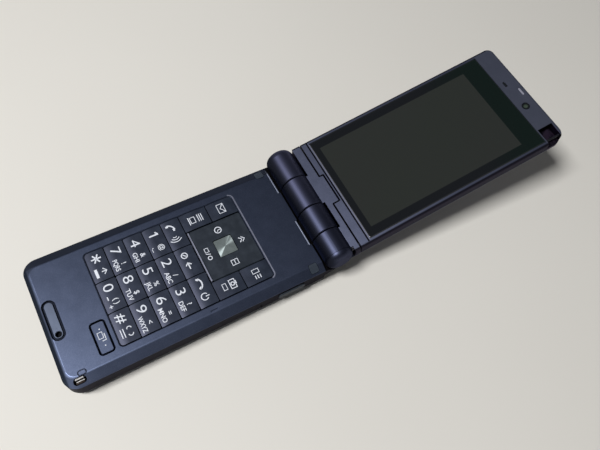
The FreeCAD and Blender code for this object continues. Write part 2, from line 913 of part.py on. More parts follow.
def card_socket():
    """Socket for a memory card, open towards the side cover."""
    dx, dy, dz = card_socket_size
    x1 = half_width - side_cover_depth - wall - snug
    x0 = x1 - dx
    y = hinge_y - sum(side_cover_from_axis) / 2
    z0 = floor + card_foot_height
    body = plate(x0, x1, y - dy / 2, y + dy / 2, z0, z0 + dz)
    slot_y = dy / 2 - card_socket_wall
    slot = plate(x0 + card_socket_wall, x1 + 1, y - slot_y, y + slot_y,
                 z0 + card_socket_wall, z0 + card_socket_wall + card_slot_height)
    foot = plate(x0, x1 - card_foot_width / 2, y - card_foot_width / 2, y + card_foot_width / 2,
                 floor, z0)
    return join(body.cut(slot), foot)


def side_cover():
    return base_body().common(side_cover_box(0.0, 0.0, side_cover_depth))


def side_key():
    """Bar key with a flange behind the wall."""
    inner = half_width - wall - side_key_back_gap
    outer = half_width + side_key_proud
    cap = side_key_prism(inner, outer, 0.0)
    rim = edges_where(cap, lambda box: box.XMin > outer - 0.01)
    cap = cap.makeFillet(side_key_edge_radius, rim)
    flange = side_key_prism(inner - side_key_flange, inner, side_key_flange_width)
    return join(cap, flange)


def latch_hook():
    """Hook with a slotted round seat, lowered so that only its tips show."""
    z = hinge_z - latch_rise
    y0 = along(latch_from_end) - latch_length / 2
    y1 = y0 + latch_length
    seat = corner_pin_radius + snug
    outer = seat + hook_wall
    eye = y_rod(outer, swing_x, y0, y1, z)
    stem = plate(swing_x - hook_stem / 2, swing_x + hook_stem / 2, y0, y1,
                 z - seat - hook_depth, z - seat)
    mouth = corner_pin_flat / 2 + snug
    hook = join(eye, stem)
    hook = hook.cut(y_rod(seat, swing_x, y0 - 1, y1 + 1, z))
    hook = hook.cut(plate(swing_x - mouth, swing_x + mouth, y0 - 1, y1 + 1, z, z + outer + 1))
    above = plate(swing_x - outer, swing_x + outer, y0 - 1, y1 + 1, z + hook_tip_height, z + outer + 1)
    return hook.cut(above)


def lock_plunger():
    pin = plunger_shape(0.0, key_bottom, base_height + snug)
    flange = plunger_shape(plunger_flange, key_bottom, key_bottom + key_lip_thickness)
    return join(pin, flange)


# Keys


def number_cells():
    """Name and bounds of each key in the five rows of three."""
    names = (("key_star", "key_0", "key_hash"), ("key_7", "key_8", "key_9"),
             ("key_4", "key_5", "key_6"), ("key_1", "key_2", "key_3"),
             ("key_call", "key_clear", "key_end"))
    columns = (-keypad_half_width, -column_split, column_split, keypad_half_width)
    cells = {}
    for row, row_names in enumerate(names):
        y0 = along(keypad_start + row * row_pitch)
        for column, name in enumerate(row_names):
            cells[name] = (columns[column], columns[column + 1], y0, y0 + row_pitch)
    return cells


def soft_cells():
    """Name and bounds of the four keys beside the navigation key."""
    y0, y1 = along(nav_start), along(keypad_end)
    middle = (y0 + y1) / 2
    left = (-keypad_half_width, -nav_split)
    right = (nav_split, keypad_half_width)
    return {
        "key_menu": left + (y0, middle),
        "key_mail": left + (middle, y1),
        "key_camera": right + (y0, middle),
        "key_guide": right + (middle, y1),
    }


def fall(crest, reach, drop):
    """Arc that leaves a crest level and falls by drop over its reach, with its far end."""
    radius = (reach ** 2 + drop ** 2) / (2 * drop)
    halfway = radius - math.sqrt(radius ** 2 - (reach / 2) ** 2)
    middle = crest + Vector(0, reach / 2, -halfway)
    end = crest + Vector(0, reach, -drop)
    return Part.Arc(crest, middle, end), end


def crested(y0, y1):
    """Side view of a number key: a rounded front and a longer, gentler fall behind."""
    crest = Vector(0, y0 + key_crest, base_height)
    front_arc, front = fall(crest, -key_crest, key_front_drop)
    rear_arc, back = fall(crest, y1 - y0 - key_crest, key_rear_drop)
    return [front_arc, rear_arc], front, back


def domed(y0, y1):
    """Side view of a soft key: one shallow arch."""
    front = Vector(0, y0, base_height - key_back_drop)
    top = Vector(0, (y0 + y1) / 2, base_height)
    back = Vector(0, y1, base_height - key_back_drop)
    return [Part.Arc(front, top, back)], front, back


def key_cap(cell, view):
    """Cap with the given side view, and a lip under the case where it borders the opening."""
    x0, x1, y0, y1 = cell
    gap = key_gap / 2
    bounds = (-keypad_half_width, keypad_half_width, along(keypad_start), along(keypad_end))
    on_border = [abs(side - bound) < 0.01 for side, bound in zip(cell, bounds)]
    corners = []
    for at_x, at_y in ((0, 2), (1, 2), (1, 3), (0, 3)):
        outer = on_border[at_x] and on_border[at_y]
        corners.append(keypad_corner - gap if outer else key_corner)
    x0, x1, y0, y1 = x0 + gap, x1 - gap, y0 + gap, y1 - gap
    curves, front, back = view(y0, y1)
    low_front = Vector(0, y0, key_bottom)
    low_back = Vector(0, y1, key_bottom)
    edges = [Part.LineSegment(low_front, front).toShape()]
    edges += [curve.toShape() for curve in curves]
    edges.append(Part.LineSegment(back, low_back).toShape())
    edges.append(Part.LineSegment(low_back, low_front).toShape())
    side = Part.Face(Part.Wire(edges))
    side.translate(Vector(x0, 0, 0))
    body = side.extrude(Vector(x1 - x0, 0, 0))
    cap = body.common(plate(x0, x1, y0, y1, key_bottom, base_height + 1, tuple(corners)))
    reach = [gap + key_lip if border else 0.0 for border in on_border]
    lip = plate(x0 - reach[0], x1 + reach[1], y0 - reach[2], y1 + reach[3],
                key_bottom, key_bottom + key_lip_thickness, key_corner)
    return join(cap, lip) if any(on_border) else cap


def tactile_dot(cell):
    x0, x1, y0, y1 = cell
    x = (x0 + x1) / 2 + dot_offset
    return z_rod(dot_radius, x, y0 + dot_from_front, base_height - 2 * key_front_drop,
                 base_height + dot_height)


def nav_middle():
    return along((nav_start + keypad_end) / 2 + nav_centre_offset)


def nav_ring():
    """Four-way key: a plate with a sloping edge round the square hole of the centre key."""
    gap = key_gap / 2
    x = nav_split - gap
    y0 = along(nav_start + nav_trim_inset) + trim_width + gap
    y1 = along(keypad_end) - gap
    top = base_height - nav_top_drop
    bottom = rocker_bottom() + rocker_thickness + nav_tilt_gap
    ring = plate(-x, x, y0, y1, bottom, top, nav_corner)
    rim = edges_where(ring, lambda box: box.ZMin > top - 0.01)
    ring = ring.makeChamfer(nav_edge_bevel, rim)
    hole = nav_centre_width / 2 + nav_centre_gap
    y = nav_middle()
    return ring.cut(plate(-hole, hole, y - hole, y + hole, bottom - 1, top + 1, nav_hole_corner))


def nav_centre():
    """Centre key: a low pyramid on a square cap."""
    half = nav_centre_width / 2
    y = nav_middle()
    shoulder = base_height - nav_crown_height
    cap = plate(-half, half, y - half, y + half, key_bottom, shoulder, key_corner)
    foot = outline(rectangle(-half, half, y - half, y + half), (key_corner,) * 4, shoulder)
    crown = nav_crown_width / 2
    tip = outline(rectangle(-crown, crown, y - crown, y + crown), (key_corner / 2,) * 4, base_height)
    return join(cap, Part.makeLoft([foot, tip], True, True))


def nav_rocker():
    """Gimbal frame between the mat and the four-way key."""
    dx, dy = rocker_half
    y = nav_middle()
    z0 = rocker_bottom()
    frame = plate(-dx, dx, y - dy, y + dy, z0, z0 + rocker_thickness, nav_corner)
    hole = nav_centre_width / 2 + rocker_hole_gap
    return frame.cut(plate(-hole, hole, y - hole, y + hole, z0 - 1, z0 + 1, nav_hole_corner))


def rocker_bottom():
    return key_bottom - running_gap


def key_multi():
    top = base_height - multi_set_back
    cap = multi_box(multi_gap, key_bottom, top, multi_corner - multi_gap)
    rim = edges_where(cap, lambda box: box.ZMin > top - 0.01)
    cap = cap.makeChamfer(multi_bevel, rim)
    return join(cap, multi_box(-key_lip, key_bottom, key_bottom + key_lip_thickness, key_corner))


# Hinge parts, drawn in the lid's frame


def lid_body():
    """The whole lid as one rounded slab, before it is split into its pieces."""
    x = half_width
    slab = plate(-x, x, 0, lid_length, lid_back, lid_front, (0, 0, lid_right_corner, lid_left_corner))
    front = edges_where(slab, lambda box: box.ZMin > lid_front - 0.01 and box.YMax > 0.01)
    slab = slab.makeFillet(lid_front_radius, front)
    back = edges_where(slab, lambda box: box.ZMax < lid_back + 0.01 and box.YMax > 0.01)
    return slab.makeFillet(lid_back_radius, back)


def arm_prism(z0, z1):
    """Plan of the arm plate between barrel and seam."""
    g = seam_gap / 2
    x = half_width + 1
    points = [(-x, 0), (x, 0), (x, seam_right - g), (seam_step_x - g, seam_right - g),
              (seam_step_x - g, seam_left - g), (-x, seam_left - g)]
    return prism(points, (0,) * 6, z0, z1)


def tab_prism(gap, z0, z1):
    """Plan of the tab that the arm reaches into the lid, or of its notch."""
    return plate(tab_left_x - gap, seam_step_x + gap, tab_root, tab_end + gap, z0, z1)


def cap_groove():
    """Fine groove where the end cap meets the right knuckle."""
    x0 = barrel_half_length - cap_length
    x1 = x0 + cap_groove_width
    return x_rod(barrel_radius + 1, x0, x1).cut(x_rod(barrel_radius - cap_groove_depth, x0, x1))


def hinge_arm():
    slab = lid_body().common(arm_prism(lid_back - 1, lid_front + 1))
    g = seam_gap / 2
    tab = tab_prism(-g, lid_front - tab_depth, lid_front)
    slab = join(slab, tab)
    reach = barrel_half_length + 2
    slab = slab.cut(x_rod(barrel_radius + arm_gap, -reach, reach))
    spans = knuckle_spans()
    for index in (1, 3):
        x0, x1 = spans[index]
        web_x1 = min(x1, half_width - bottom_radius + fairing_overlap)
        web = plate(x0, web_x1, 0, barrel_radius + arm_gap + web_overlap, lid_back, lid_front)
        slab = join(slab, barrel_slice(x0, x1), web)
    shaft = x_rod(shaft_radius, spans[1][0] - 1, spans[3][0] + shaft_grip)
    pin = y_rod(swing_pin_radius, swing_x, seam_right - swing_pin_reach, lid_length, 0)
    return cut(slab, shaft, pin, cap_groove())


def hinge_unit():
    """Click cartridge in the left knuckle."""
    x0, x1 = knuckle_spans()[0]
    unit = x_rod(hinge_unit_radius - press_gap, x0 + unit_from_end, x1)
    return unit.cut(x_rod(shaft_radius + running_gap, x0 + shaft_from_end - snug, x1 + 1))


def hinge_shaft():
    spans = knuckle_spans()
    return x_rod(shaft_radius, spans[0][0] + shaft_from_end, spans[3][0] + shaft_grip)


def swing_pin():
    start = seam_right - swing_pin_reach
    return y_rod(swing_pin_radius, swing_x, start, seam_right + swing_pin_reach, 0)


# Lid pieces, drawn in the lid's frame


def beyond_seam(z0, z1):
    """Plan of the lid on the far side of the seam."""
    g = seam_gap / 2
    x = half_width + 1
    far = lid_length + 1
    points = [(-x, seam_left + g), (seam_step_x + g, seam_left + g), (seam_step_x + g, seam_right + g),
              (x, seam_right + g), (x, far), (-x, far)]
    return prism(points, (0,) * 6, z0, z1)


def recess_box(grow, z0, z1):
    x1 = half_width + 1
    return plate(half_width - recess_width - grow, x1, recess_start - grow, recess_end + grow, z0, z1)


def lid_cavity(z0, z1):
    """Room inside the lid for the screen and its board."""
    x = half_width - lid_wall
    start = glass_start + lid_cavity_set_back
    room = plate(-x, x, start, lid_length - lid_wall, z0, z1, lid_cavity_corner)
    return room.cut(recess_box(recess_wall, z0 - 1, z1 + 1))


def bezel_hole(x, from_end, size, z0, z1, radius):
    return centred_plate((x, lid_length - from_end), size, z0, z1, radius)


def receiver_slot_shape(grow, z0, z1):
    width, depth = receiver_slot_size
    centre = (receiver_x, lid_length - receiver_from_end)
    return oblong(centre, (width + 2 * grow, depth + 2 * grow), z0, z1)


def sensor_shape(grow, z0, z1):
    width, depth = sensor_size
    size = (width + 2 * grow, depth + 2 * grow)
    return bezel_hole(sensor_x, sensor_from_end, size, z0, z1, sensor_corner)


def display_front():
    frame = lid_body().common(beyond_seam(lid_split, lid_front + 1))
    g = seam_gap / 2
    frame = cut(frame, tab_prism(g, lid_front - tab_depth - tab_under_gap, lid_front + 1))
    pocket_floor = lid_front - glass_set_back - glass_thickness
    x = glass_half_width + running_gap
    pocket = plate(-x, x, glass_start - running_gap, glass_end + running_gap, pocket_floor, lid_front + 1)
    cavity_top = pocket_floor - glass_ledge
    border = screen_border
    window = plate(-screen_half_width - border, screen_half_width + border, screen_start - border,
                   screen_end + border, cavity_top - 1, lid_front)
    frame = cut(frame, pocket, lid_cavity(lid_split - 1, cavity_top), window)
    groove_y = glass_start - groove_from_glass
    x = half_width - groove_from_side
    groove = plate(-x, x, groove_y - groove_width / 2, groove_y + groove_width / 2,
                   lid_front - groove_depth, lid_front + 1)
    frame = cut(frame, groove)
    frame = cut(frame, recess_box(0.0, lid_front - recess_depth, lid_front + 1))
    pin = corner_pin_rod()
    bore = y_rod(swing_pin_radius + running_gap, swing_x, 0, seam_right + swing_pin_reach + snug, 0)
    y = lid_length - front_camera_from_end
    camera = z_rod(front_camera_radius + snug, front_camera_x, y, cavity_top - 1, lid_front + 1)
    frame = cut(frame, pin, bore, camera)
    frame = cut(frame, receiver_slot_shape(0.0, cavity_top - 1, lid_front + 1))
    return cut(frame, sensor_shape(0.0, lid_front - sensor_depth, lid_front + 1))


def sub_window_plate(grow, z0, z1):
    width, depth = sub_window_size
    size = (width + 2 * grow, depth + 2 * grow)
    return centred_plate((0, sub_window_from_axis), size, z0, z1, sub_window_corner + grow)


def display_back():
    shell = lid_body().common(beyond_seam(lid_back - 1, lid_split - snug))
    shell = cut(shell, lid_cavity(lid_back + lid_skin, lid_split))
    shell = cut(shell, sub_window_plate(running_gap, lid_back - 1, lid_back + sub_window_seat))
    return cut(shell, sub_window_plate(-sub_window_ledge, lid_back - 1, lid_back + lid_skin + 1))


def sub_window():
    return sub_window_plate(0.0, lid_back + glass_set_back, lid_back + sub_window_seat)


def glass_window():
    """Window with a shallow bevel round its edge."""
    x = glass_half_width
    top = lid_front - glass_set_back
    shoulder = top - glass_bevel_drop
    radii = (glass_corner,) * 4
    slab = plate(-x, x, glass_start, glass_end, top - glass_thickness, shoulder, radii)
    foot = outline(rectangle(-x, x, glass_start, glass_end), radii, shoulder)
    inset = glass_bevel_width
    crown_points = rectangle(-x + inset, x - inset, glass_start + inset, glass_end - inset)
    crown = outline(crown_points, radii, top)
    return join(slab, Part.makeLoft([foot, crown], True, True))


def screen_top():
    return lid_front - glass_set_back - glass_thickness - glass_ledge


def lcd_panel():
    top = screen_top()
    x = screen_half_width + lcd_margin
    before, after = lcd_past_screen
    return plate(-x, x, screen_start - before, screen_end + after, top - screen_thickness, top,
                 lcd_corner)


def display_board():
    x0, x1 = display_board_sides
    z0 = lid_back + lid_skin + board_gap
    return plate(x0, x1, display_board_start, lid_length - lid_wall - display_board_from_wall,
                 z0, z0 + display_board_thickness, display_board_corner)


def receiver():
    top = screen_top()
    dx, dy = receiver_offset
    return bezel_hole(receiver_x + dx, receiver_from_end + dy, receiver_size,
                      top - receiver_height, top, receiver_corner)


def receiver_slot():
    return receiver_slot_shape(0.0, screen_top(), lid_front)


def front_camera():
    top = screen_top()
    y = lid_length - front_camera_from_end
    size = (front_camera_size, front_camera_size)
    body = centred_plate((front_camera_x, y), size, top - front_camera_height, top,
                         front_camera_corner)
    lens = z_rod(front_camera_radius, front_camera_x, y, top, lid_front - front_camera_set_back)
    radius, depth = front_camera_cone
    hollow = z_rod(radius, front_camera_x, y, lid_front - front_camera_set_back - depth, lid_front)
    return join(body, lens).cut(hollow)


def sensor_window():
    return sensor_shape(0.0, lid_front - sensor_depth, lid_front - glass_set_back)


def corner_pin_rod():
    before, after = corner_pin_overhang
    return y_rod(corner_pin_radius, swing_x, recess_start - before, recess_end + after, 0)


def corner_pin():
    """Round pin, flatted where the hook takes it."""
    pin = corner_pin_rod()
    half = corner_pin_flat / 2
    for side in (-1, 1):
        x0, x1 = sorted((swing_x + side * half, swing_x + side * 2))
        pin = pin.cut(plate(x0, x1, recess_start, recess_end, -2, 2))
    return pin


def base_pieces():
    pieces = {
        "keypad_case": keypad_case(),
        "rear_case": rear_case(),
        "battery_cover": battery_cover(),
        "battery_pack": battery_pack(),
        "main_board": main_board(),
        "shield_cans": shield_cans(),
        "key_mat": key_mat(),
        "microphone": microphone(),
        "mic_plate": mic_plate(),
        "loudspeaker": loudspeaker(),
        "vibration_motor": vibration_motor(),
        "camera_module": camera_module(),
        "camera_window": camera_window(),
        "connector_socket": connector_socket(),
        "card_socket": card_socket(),
        "side_cover": side_cover(),
        "side_key": side_key(),
        "hinge_bumpers": Part.makeCompound([bumper(-1), bumper(1)]),
        "keypad_trim": keypad_trim(),
        "case_screws": case_screws(),
        "latch_hook": latch_hook(),
        "lock_plunger": lock_plunger(),
        "nav_ring": nav_ring(),
        "nav_rocker": nav_rocker(),
        "nav_centre": nav_centre(),
        "key_multi": key_multi(),
    }
    for name, cell in number_cells().items():
        pieces[name] = key_cap(cell, crested)
    pieces["key_5"] = join(pieces["key_5"], tactile_dot(number_cells()["key_5"]))
    for name, cell in soft_cells().items():
        pieces[name] = key_cap(cell, domed)
    return pieces


def lid_pieces():
    return {
        "hinge_arm": hinge_arm(),
        "hinge_unit": hinge_unit(),
        "hinge_shaft": hinge_shaft(),
        "swing_pin": swing_pin(),
        "display_front": display_front(),
        "display_back": display_back(),
        "glass_window": glass_window(),
        "lcd_panel": lcd_panel(),
        "display_board": display_board(),
        "receiver": receiver(),
        "receiver_slot": receiver_slot(),
        "front_camera": front_camera(),
        "sensor_window": sensor_window(),
        "corner_pin": corner_pin(),
        "sub_window": sub_window(),
    }


def main():
    os.makedirs("parts", exist_ok=True)
    pieces = base_pieces()
    tilt = FreeCAD.Rotation(Vector(1, 0, 0), 180 - opening_angle)
    open_lid = FreeCAD.Placement(Vector(0, hinge_y, hinge_z), tilt)
    for name, shape in lid_pieces().items():
        shape.Placement = open_lid.multiply(shape.Placement)
        pieces[name] = shape
    for name, shape in pieces.items():
        box = shape.BoundBox
        print(f"{name:18s} solids {len(shape.Solids)} volume {shape.Volume:9.2f} valid {shape.isValid()}"
              f"  x {box.XMin:6.2f} {box.XMax:6.2f}  y {box.YMin:6.2f} {box.YMax:6.2f}"
              f"  z {box.ZMin:6.2f} {box.ZMax:6.2f}")
        shape.exportStep(f"parts/{name}.step")


main()
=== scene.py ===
# %% [markdown]
# # A flip phone, lying open on a table
# The phone's sixty mechanical pieces are already solved and fixed in place. This script loads them, gives every
# piece a finish, prints the keys, which a mechanical model leaves bare, and lights the result.
# Everything is in metres, in the same frame as the mechanical model: X to the phone's right, Y from the
# microphone end towards the hinge, Z up, with the underside on the table at Z = 0.

# %% Load the fixed frame
import json
import math

import bpy
from mathutils import Matrix, Vector

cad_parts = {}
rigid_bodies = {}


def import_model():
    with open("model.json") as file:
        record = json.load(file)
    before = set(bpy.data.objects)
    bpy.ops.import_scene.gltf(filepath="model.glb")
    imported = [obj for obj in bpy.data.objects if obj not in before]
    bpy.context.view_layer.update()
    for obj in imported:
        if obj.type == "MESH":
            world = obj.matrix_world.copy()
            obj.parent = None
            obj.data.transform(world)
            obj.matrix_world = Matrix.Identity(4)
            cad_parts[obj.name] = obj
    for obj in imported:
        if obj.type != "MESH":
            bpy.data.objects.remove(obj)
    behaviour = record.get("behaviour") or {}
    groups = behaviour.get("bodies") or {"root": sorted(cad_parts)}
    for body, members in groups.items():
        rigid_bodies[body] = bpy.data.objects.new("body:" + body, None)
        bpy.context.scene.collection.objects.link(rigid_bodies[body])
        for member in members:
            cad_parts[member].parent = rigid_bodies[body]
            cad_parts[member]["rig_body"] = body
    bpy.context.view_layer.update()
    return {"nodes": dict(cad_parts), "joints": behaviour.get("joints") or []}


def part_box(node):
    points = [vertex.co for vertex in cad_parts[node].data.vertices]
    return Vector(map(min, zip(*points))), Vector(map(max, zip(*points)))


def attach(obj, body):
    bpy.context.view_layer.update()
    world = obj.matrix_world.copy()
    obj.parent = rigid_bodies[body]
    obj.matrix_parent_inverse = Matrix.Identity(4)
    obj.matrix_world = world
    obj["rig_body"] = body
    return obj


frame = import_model()
nodes = frame["nodes"]

# %% [markdown]
# ## Sizes that the steps below share
# A phone is thought of in millimetres, so one factor turns them into metres. The hinge line and the tilt of the
# open lid come from the joint record, so a pattern on the lid can be drawn in the lid's own frame: the distance
# along it from the hinge line, and the height over its middle plane. Patterns are measured in millimetres, and
# pieces are placed in metres.

# %% Shared sizes and the lid's own frame
mm = 0.001
joints = {joint["name"]: joint for joint in frame["joints"]}
hinge_y, hinge_z = (value / mm for value in joints["lid_hinge"]["pos_m"][1:])
swing_axis = Vector(joints["lid_swing"]["axis"])
lid_tilt = math.atan2(abs(swing_axis.z), abs(swing_axis.y))
print("hinge line at y", round(hinge_y, 2), "z", round(hinge_z, 2), "mm")
print("lid tilted", round(math.degrees(lid_tilt), 2), "degrees")

# %% [markdown]
# ## The camera
# The photograph was taken from over the phone's right side, near the microphone end, looking down. Its place,
# turn and focal length were solved from the phone's corners, so they are written here as solved: a position and
# the three directions right, down and forward. Blender's camera looks along its own -Z with +Y up, so down and
# forward change sign.

# %% Camera
bpy.ops.object.camera_add(location=(0.08153, -0.02185, 0.19763))
camera = bpy.context.object
camera.name = "camera"
view_right = Vector((0.4816, 0.8697, 0.1081))
view_down = Vector((0.7980, -0.3842, -0.4642))
view_forward = Vector((-0.3622, 0.3098, -0.8791))
turn = Matrix((view_right, -view_down, -view_forward)).transposed()
camera.rotation_euler = turn.to_euler()
camera.data.sensor_width = 36.0
camera.data.lens = 34.4
camera.data.clip_start = 0.005
camera.data.clip_end = 20.0
bpy.context.scene.camera = camera
print("camera height", round(camera.location.z / mm, 1), "mm")

# %% [markdown]
# ## Writing finishes as expressions
# A procedural finish is a tree of small nodes. Building it by hand is slow and hard to read, so one class wraps
# an output socket and overloads the arithmetic operators: `1 - mask * 0.3` then adds its two Math nodes by
# itself. A comparison gives a mask that is 1 or 0, and `ramp` one with a soft edge.

# %% Helper: wires


class Wire:
    """An output socket that can be used in sums, products and comparisons."""

    def __init__(self, wiring, socket):
        self.wiring = wiring
        self.socket = socket

    def math(self, operation, *values):
        return self.wiring.add("ShaderNodeMath", {"operation": operation}, dict(enumerate(values)))

    def __add__(self, other):
        return self.math("ADD", self, other)

    def __sub__(self, other):
        return self.math("SUBTRACT", self, other)

    def __rsub__(self, other):
        return self.math("SUBTRACT", other, self)

    def __mul__(self, other):
        return self.math("MULTIPLY", self, other)

    def __gt__(self, other):
        return self.math("GREATER_THAN", self, other)

    def __lt__(self, other):
        return self.math("LESS_THAN", self, other)

    def __abs__(self):
        return self.math("ABSOLUTE", self)

    __radd__ = __add__
    __rmul__ = __mul__

    def root(self):
        return self.math("SQRT", self)

    def most(self, other):
        return self.math("MAXIMUM", self, other)

    def ramp(self, low, high):
        """0 below low, 1 above high, smooth between; low may be the larger."""
        inputs = {0: self, 1: low, 2: high, 3: 0.0, 4: 1.0}
        return self.wiring.add("ShaderNodeMapRange", {"interpolation_type": "SMOOTHSTEP"}, inputs)


print("wires can be added, subtracted, multiplied and compared")

# %% [markdown]
# ## One method for every node
# Each kind of node is made in the same few steps, so one method does them all, from the node's type, its settings
# and the values or wires of its sockets. Settings come first, because some of them change the sockets. A colour
# ramp's stops are settings too. A tree of nodes may belong to a material or to the world.

# %% Helper: wiring


class Wiring:
    """A tree of shader nodes."""

    def __init__(self, tree):
        self.tree = tree

    def feed(self, socket, value):
        if isinstance(value, Wire):
            self.tree.links.new(value.socket, socket)
        elif isinstance(value, tuple) and len(value) == 3 and len(socket.default_value) == 4:
            socket.default_value = (*value, 1.0)
        else:
            socket.default_value = value

    def add(self, kind, settings=None, inputs=None, out=0):
        node = self.tree.nodes.new(kind)
        for key, value in (settings or {}).items():
            if key == "stops":
                self.set_stops(node.color_ramp, value)
            else:
                setattr(node, key, value)
        for key, value in (inputs or {}).items():
            self.feed(node.inputs[key], value)
        return Wire(self, node.outputs[out])

    def set_stops(self, ramp, stops):
        """Gives a ramp of two stops their positions and colours, with a smooth change between them."""
        ramp.interpolation = "EASE"
        for stop, (position, colour) in zip(ramp.elements, stops):
            stop.position, stop.color = position, (*colour, 1.0)


print("a node is made from its type, its settings and its sockets")

# %% [markdown]
# ## One class for every material
# A finish is a tree of nodes that holds a material and its shader. Patterns are laid out in millimetres of the
# object's own coordinates, so they ride with the piece when it moves. Noise gives clouds and grain, and cells give
# flakes. A value that is the same all over goes straight onto the shader, where it is easy to find and change.

# %% Helper: finishes


class Finish(Wiring):
    """A material. `vector` is the point in millimetres where the piece is at rest, `place` its X, Y and Z."""

    def __init__(self, name, colour, roughness, metallic=0.0, **sockets):
        self.material = bpy.data.materials.new(name)
        self.material.use_nodes = True
        super().__init__(self.material.node_tree)
        self.shader = self.tree.nodes["Principled BSDF"]
        self.feed(self.shader.inputs["Base Color"], colour)
        self.feed(self.shader.inputs["Roughness"], roughness)
        self.feed(self.shader.inputs["Metallic"], metallic)
        for key, value in sockets.items():
            self.feed(self.shader.inputs[key.replace("_", " ")], value)
        coordinates = self.add("ShaderNodeTexCoord", out="Object")
        to_mm = {0: coordinates, 1: (1 / mm, 1 / mm, 1 / mm)}
        self.vector = self.add("ShaderNodeVectorMath", {"operation": "MULTIPLY"}, to_mm)
        split = self.add("ShaderNodeSeparateXYZ", inputs={0: self.vector}).socket.node
        self.place = [Wire(self, output) for output in split.outputs]

    def noise(self, size, detail=3.0, stretch=(1.0, 1.0, 1.0)):
        """Cloudy noise from about 0 to 1, with patches about `size` millimetres across."""
        vector = self.vector
        if stretch != (1.0, 1.0, 1.0):
            inputs = {0: vector, 1: stretch}
            vector = self.add("ShaderNodeVectorMath", {"operation": "MULTIPLY"}, inputs)
        inputs = {"Vector": vector, "Scale": 1 / size, "Detail": detail, "Roughness": 0.55}
        return self.add("ShaderNodeTexNoise", inputs=inputs)

    def cells(self, size):
        """A colour of its own for each cell, about `size` millimetres across."""
        inputs = {"Vector": self.vector, "Scale": 1 / size}
        return self.add("ShaderNodeTexVoronoi", {"feature": "F1"}, inputs, out="Color")

    def mix(self, factor, first, second):
        settings = {"data_type": "RGBA"}
        return self.add("ShaderNodeMix", settings, {0: factor, 6: first, 7: second}, out=2)

    def colour(self, wire):
        self.feed(self.shader.inputs["Base Color"], wire)

    def roughness(self, wire):
        self.feed(self.shader.inputs["Roughness"], wire)

    def bump(self, height, depth):
        """Raises the surface by height, where 1 is `depth` millimetres."""
        inputs = {"Strength": 1.0, "Distance": depth * mm, "Height": height}
        normal = self.add("ShaderNodeBump", inputs=inputs)
        self.feed(self.shader.inputs["Normal"], normal)


print("patterns are laid out in units of", mm, "m")

# %% [markdown]
# ## Metallic paint
# The shells are magnesium and plastic under a dark slate-blue metallic paint with a satin clear coat. Real
# metallic paint has three scales: flakes a tenth of a millimetre across that tilt the light a little, an
# orange-peel waviness of a millimetre or two, and a faint uneven haze from handling. The shade differs between base
# and lid, so the paint is a function of its colours.

# %% Helper: metallic paint
satin = 0.39


def case_paint(name, colour, flake_colour):
    """Metallic paint with its flakes and haze, before anything is masked."""
    paint = Finish(name, colour, satin, 0.96, Specular_Tint=(0.45, 0.45, 0.48))
    flake = paint.add("ShaderNodeSeparateColor", inputs={0: paint.cells(0.12)})
    haze = paint.noise(9.0, 4.0)
    mottle = paint.noise(2.2, 2.0)
    grain = paint.noise(0.22, 2.0)
    glint = flake.ramp(0.55, 1.0) * 0.35
    wear = (haze - 0.5) * 0.22
    painted = paint.mix((glint + wear + 0.12).most(0.0), colour, flake_colour)
    rough = satin + (haze - 0.5) * 0.05 + (mottle - 0.5) * 0.04
    return paint, painted, rough, grain * 0.6 + mottle * 0.4


print("paint roughness", satin)

# %% [markdown]
# ## Masks in millimetres
# Some places on a piece have a shade of their own. A painted image would have to be unwrapped, and painted
# vertices need a fine mesh, but a distance from a point, a line or an outline needs neither. Each helper returns a
# mask or a distance as a wire. Masks are multiplied to intersect them, and `most` joins them.

# %% Helpers: masks
soft_edge = 0.06


def distance(across, up):
    return (across * across + up * up).root()


def within(value, low, high):
    return (value > low) * (value < high)


def near(value, centre, half):
    """1 within half of the centre, with a soft edge."""
    return abs(value - centre).ramp(half + soft_edge, half - soft_edge)


def from_outline(x, y, middle, half, corner):
    """Distance outward from the outline of a rectangle with round corners."""
    past_x = (abs(x - middle[0]) - (half[0] - corner)).most(0.0)
    past_y = (abs(y - middle[1]) - (half[1] - corner)).most(0.0)
    return distance(past_x, past_y) - corner


print("mask edges are", soft_edge * 2, "mm soft")

# %% [markdown]
# ## The barrel's darker slate
# Base and arm each own two of the barrel's knuckles, which are darker than the case. They are one solid with their
# shells, so they can't have a material of their own. Instead, both paints lay the same slate over one mask, the
# distance from the hinge line. Painted light makes it a little paler on the left, and painted shade darker in
# front.

# %% Helper: slate over the barrel
barrel_left_painted_light, barrel_right = (0.088, 0.092, 0.152), (0.054, 0.060, 0.098)
barrel_front_shade = (0.016, 0.018, 0.028)
barrel_reach = 5.55


def finish_paint(paint, painted, rough, relief):
    """Lays the slate of the barrel over the paint, then joins all to the shader."""
    x, y, z = paint.place
    barrel = distance(y - hinge_y, z - hinge_z).ramp(barrel_reach + 0.03, barrel_reach - 0.03)
    # Painted light: the slate is paler towards the left. Painted shade: it is darker on the barrel's front.
    slate = paint.mix(x.ramp(20.0, -20.0), barrel_right, barrel_left_painted_light)
    slate = paint.mix(y.ramp(45.0, 48.6), barrel_front_shade, slate)
    paint.colour(paint.mix(barrel, painted, slate))
    paint.roughness(rough + barrel * 0.04)
    paint.bump(relief * (1 - barrel * 0.8), 0.012)


print("barrel found within", barrel_reach, "mm of the hinge line")
